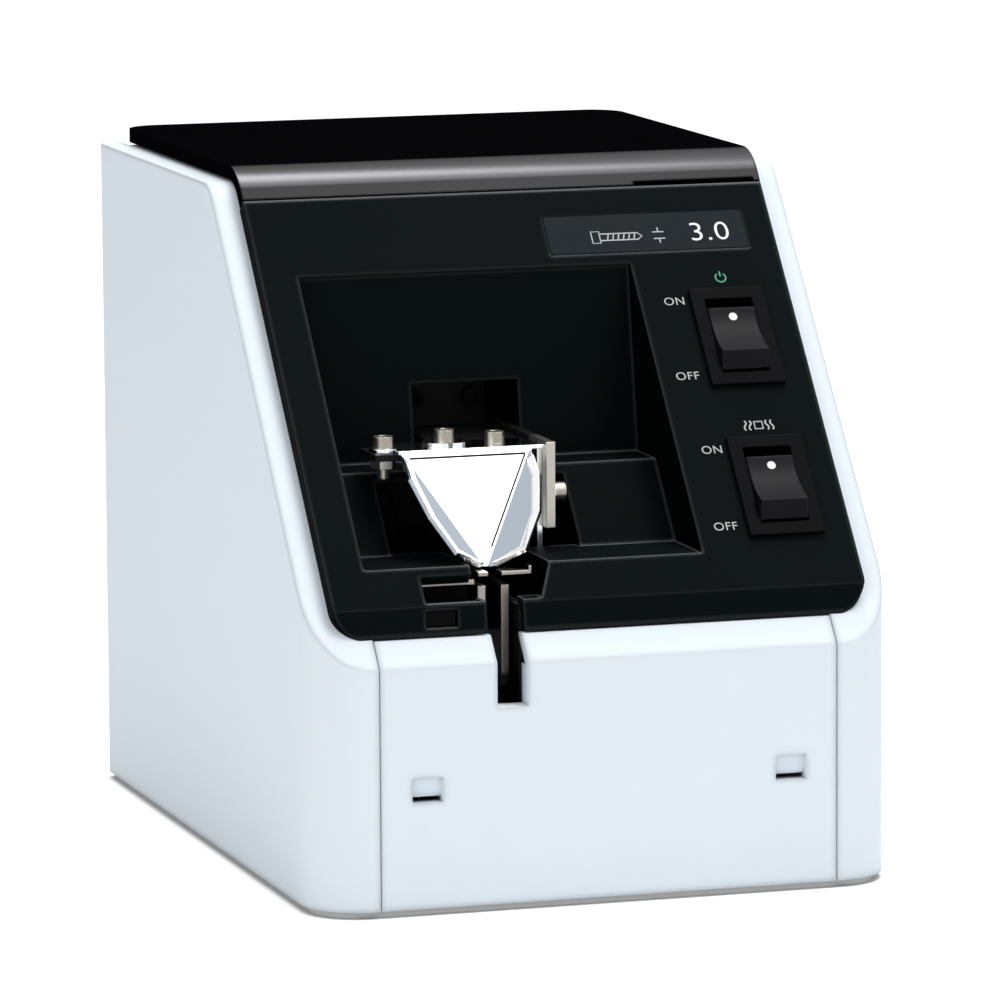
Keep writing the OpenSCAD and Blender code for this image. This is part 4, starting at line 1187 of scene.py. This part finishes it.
@dataclass
class Studio:
    """Floor, backdrop light, lamps and the camera.

    Attributes:
        lens: focal length in millimetres.
        eye: camera position in metres.
        azimuth: direction of view in degrees.
        elevation: height of view in degrees.
        roll: roll of the camera in degrees.
        floor_size: side of the floor in metres.
        floor_white: brightness of the floor.
        floor_glow: light that the floor adds where the camera sees it.
        world_light: strength of the surround as light.
        painted_shadow_reach: reach of the painted contact shadow, a dark line where the part stands close over
            the floor, in metres.
        openness: share of open air at which the painted contact shadow is darkest, and the floor fully white.
        painted_shadow_floor: brightness of the floor where the painted contact shadow is darkest.
        lamps: the lamps.
    """

    lens: float = 264.03
    eye: Point3 = (-0.47122, -1.51850, 0.31042)
    azimuth: float = -17.363
    elevation: float = 8.495
    roll: float = -0.336
    floor_size: float = 14.0
    floor_white: float = 0.93
    floor_glow: float = 0.55
    world_light: float = 0.40
    painted_shadow_reach: float = 0.0028
    openness: Point2 = (0.27, 0.80)
    painted_shadow_floor: float = 0.02
    lamps: list[Lamp] = field(default_factory=lambda: [
        Lamp("key_right", (0.75, -0.80, 1.0), (0.9, 0.9), 4.2),
        Lamp("fill_left", (-1.2, -0.9, 0.7), (1.2, 1.2), 6.2, (0.97, 0.985, 1.0)),
        Lamp("overhead", (0.20, 0.10, 1.35), (1.3, 0.40), 12.5),
    ])

    def build(self) -> None:
        """Builds floor, world, lamps and camera."""
        self._floor()
        self._world()
        low, high = (Vector(c) for c in FRAME_BOUNDS)
        for lamp in self.lamps:
            lamp.build((low + high) / 2)
        self._camera()
        bpy.context.scene.view_settings.view_transform = "Standard"

    def _floor(self) -> None:
        """Adds the pale floor, with a painted contact shadow near the part."""
        mesh = bmesh.new()
        bmesh.ops.create_grid(mesh, x_segments=1, y_segments=1, size=self.floor_size / 2)
        data = baked("floor", mesh)
        floor = linked("floor", data)
        mat = bpy.data.materials.new("pale floor")
        mat.use_nodes = True
        tree = mat.node_tree
        shader = tree.nodes["Principled BSDF"]
        shader.inputs["Roughness"].default_value = 0.9
        shader.inputs["Specular IOR Level"].default_value = 0.1
        path = new_node(tree, "LightPath")
        glow = new_node(tree, "Math", {1: self.floor_glow}, operation="MULTIPLY")
        # Painted contact shadow: ambient occlusion darkens the floor's colour and glow near the part.
        near = new_node(tree, "AmbientOcclusion", {"Distance": self.painted_shadow_reach}, samples=8)
        darkest, full = self.openness
        levels = {"From Min": darkest, "From Max": full, "To Min": self.painted_shadow_floor}
        open_air = new_node(tree, "MapRange", levels)
        join(tree,
             (path.outputs["Is Camera Ray"], glow.inputs[0]),
             (glow.outputs["Value"], shader.inputs["Emission Strength"]),
             (near.outputs["AO"], open_air.inputs["Value"]))
        for socket, level in (("Base Color", self.floor_white), ("Emission Color", 1.0)):
            tone = new_node(tree, "VectorMath", {0: (level,) * 3}, operation="SCALE")
            join(tree,
                 (open_air.outputs["Result"], tone.inputs["Scale"]),
                 (tone.outputs["Vector"], shader.inputs[socket]))
        data.materials.append(mat)

    def _world(self) -> None:
        """Makes a white surround: full white where the camera or a reflection sees it, softer as light."""
        world = bpy.data.worlds.new("white surround")
        world.use_nodes = True
        tree = world.node_tree
        back = tree.nodes["Background"]
        path = new_node(tree, "LightPath")
        total = new_node(tree, "Math", operation="ADD")
        more = new_node(tree, "Math", operation="ADD", use_clamp=True)
        level = new_node(tree, "MapRange", {"To Min": self.world_light, "To Max": 1.0})
        join(tree,
             (path.outputs["Is Camera Ray"], total.inputs[0]),
             (path.outputs["Is Glossy Ray"], total.inputs[1]),
             (total.outputs["Value"], more.inputs[0]),
             (path.outputs["Is Transmission Ray"], more.inputs[1]),
             (more.outputs["Value"], level.inputs["Value"]),
             (level.outputs["Result"], back.inputs["Strength"]))
        back.inputs["Color"].default_value = (1.0, 1.0, 1.0, 1.0)
        bpy.context.scene.world = world

    def _camera(self) -> None:
        """Places the camera of the main view."""
        data = bpy.data.cameras.new("main camera")
        data.lens = self.lens
        data.sensor_width = 36.0
        data.clip_end = 60.0
        camera = linked("main camera", data)
        a, e = math.radians(self.azimuth), math.radians(self.elevation)
        back = Vector((math.sin(a) * math.cos(e), -math.cos(a) * math.cos(e), math.sin(e)))
        turn = back.to_track_quat("Z", "Y").to_matrix().to_4x4()
        camera.matrix_world = (Matrix.Translation(self.eye) @ turn
                               @ Matrix.Rotation(math.radians(self.roll), 4, "Z"))
        bpy.context.scene.camera = camera


# ---------------------------------------------------------------- main


def main() -> None:
    """Builds and dresses the feeder piece by piece."""
    logging.basicConfig(level=logging.INFO, format="%(name)s: %(message)s")
    panel, switches, guide = FrontPanel(), Switches(), BitGuide()
    steps: list[tuple[str, Callable[[], None]]] = [
        ("housing", Housing().dress),
        ("front panel", panel.dress),
        ("printed marks", panel.print_marks),
        ("lid", Lid().dress),
        ("switches", switches.dress),
        ("switch dots", switches.dots),
        ("bit guide", guide.dress),
        ("funnel lips", guide.lips),
        ("funnel creases", guide.painted_fold_shade),
        ("rail", ScrewRail().dress),
        ("hopper", ScrewHopper().dress),
        ("electrics", Electrics().dress),
        ("studio", Studio().build),
    ]
    for name, step in steps:
        step()
        LOG.info("%s done", name)


if __name__ == "__main__":
    main()
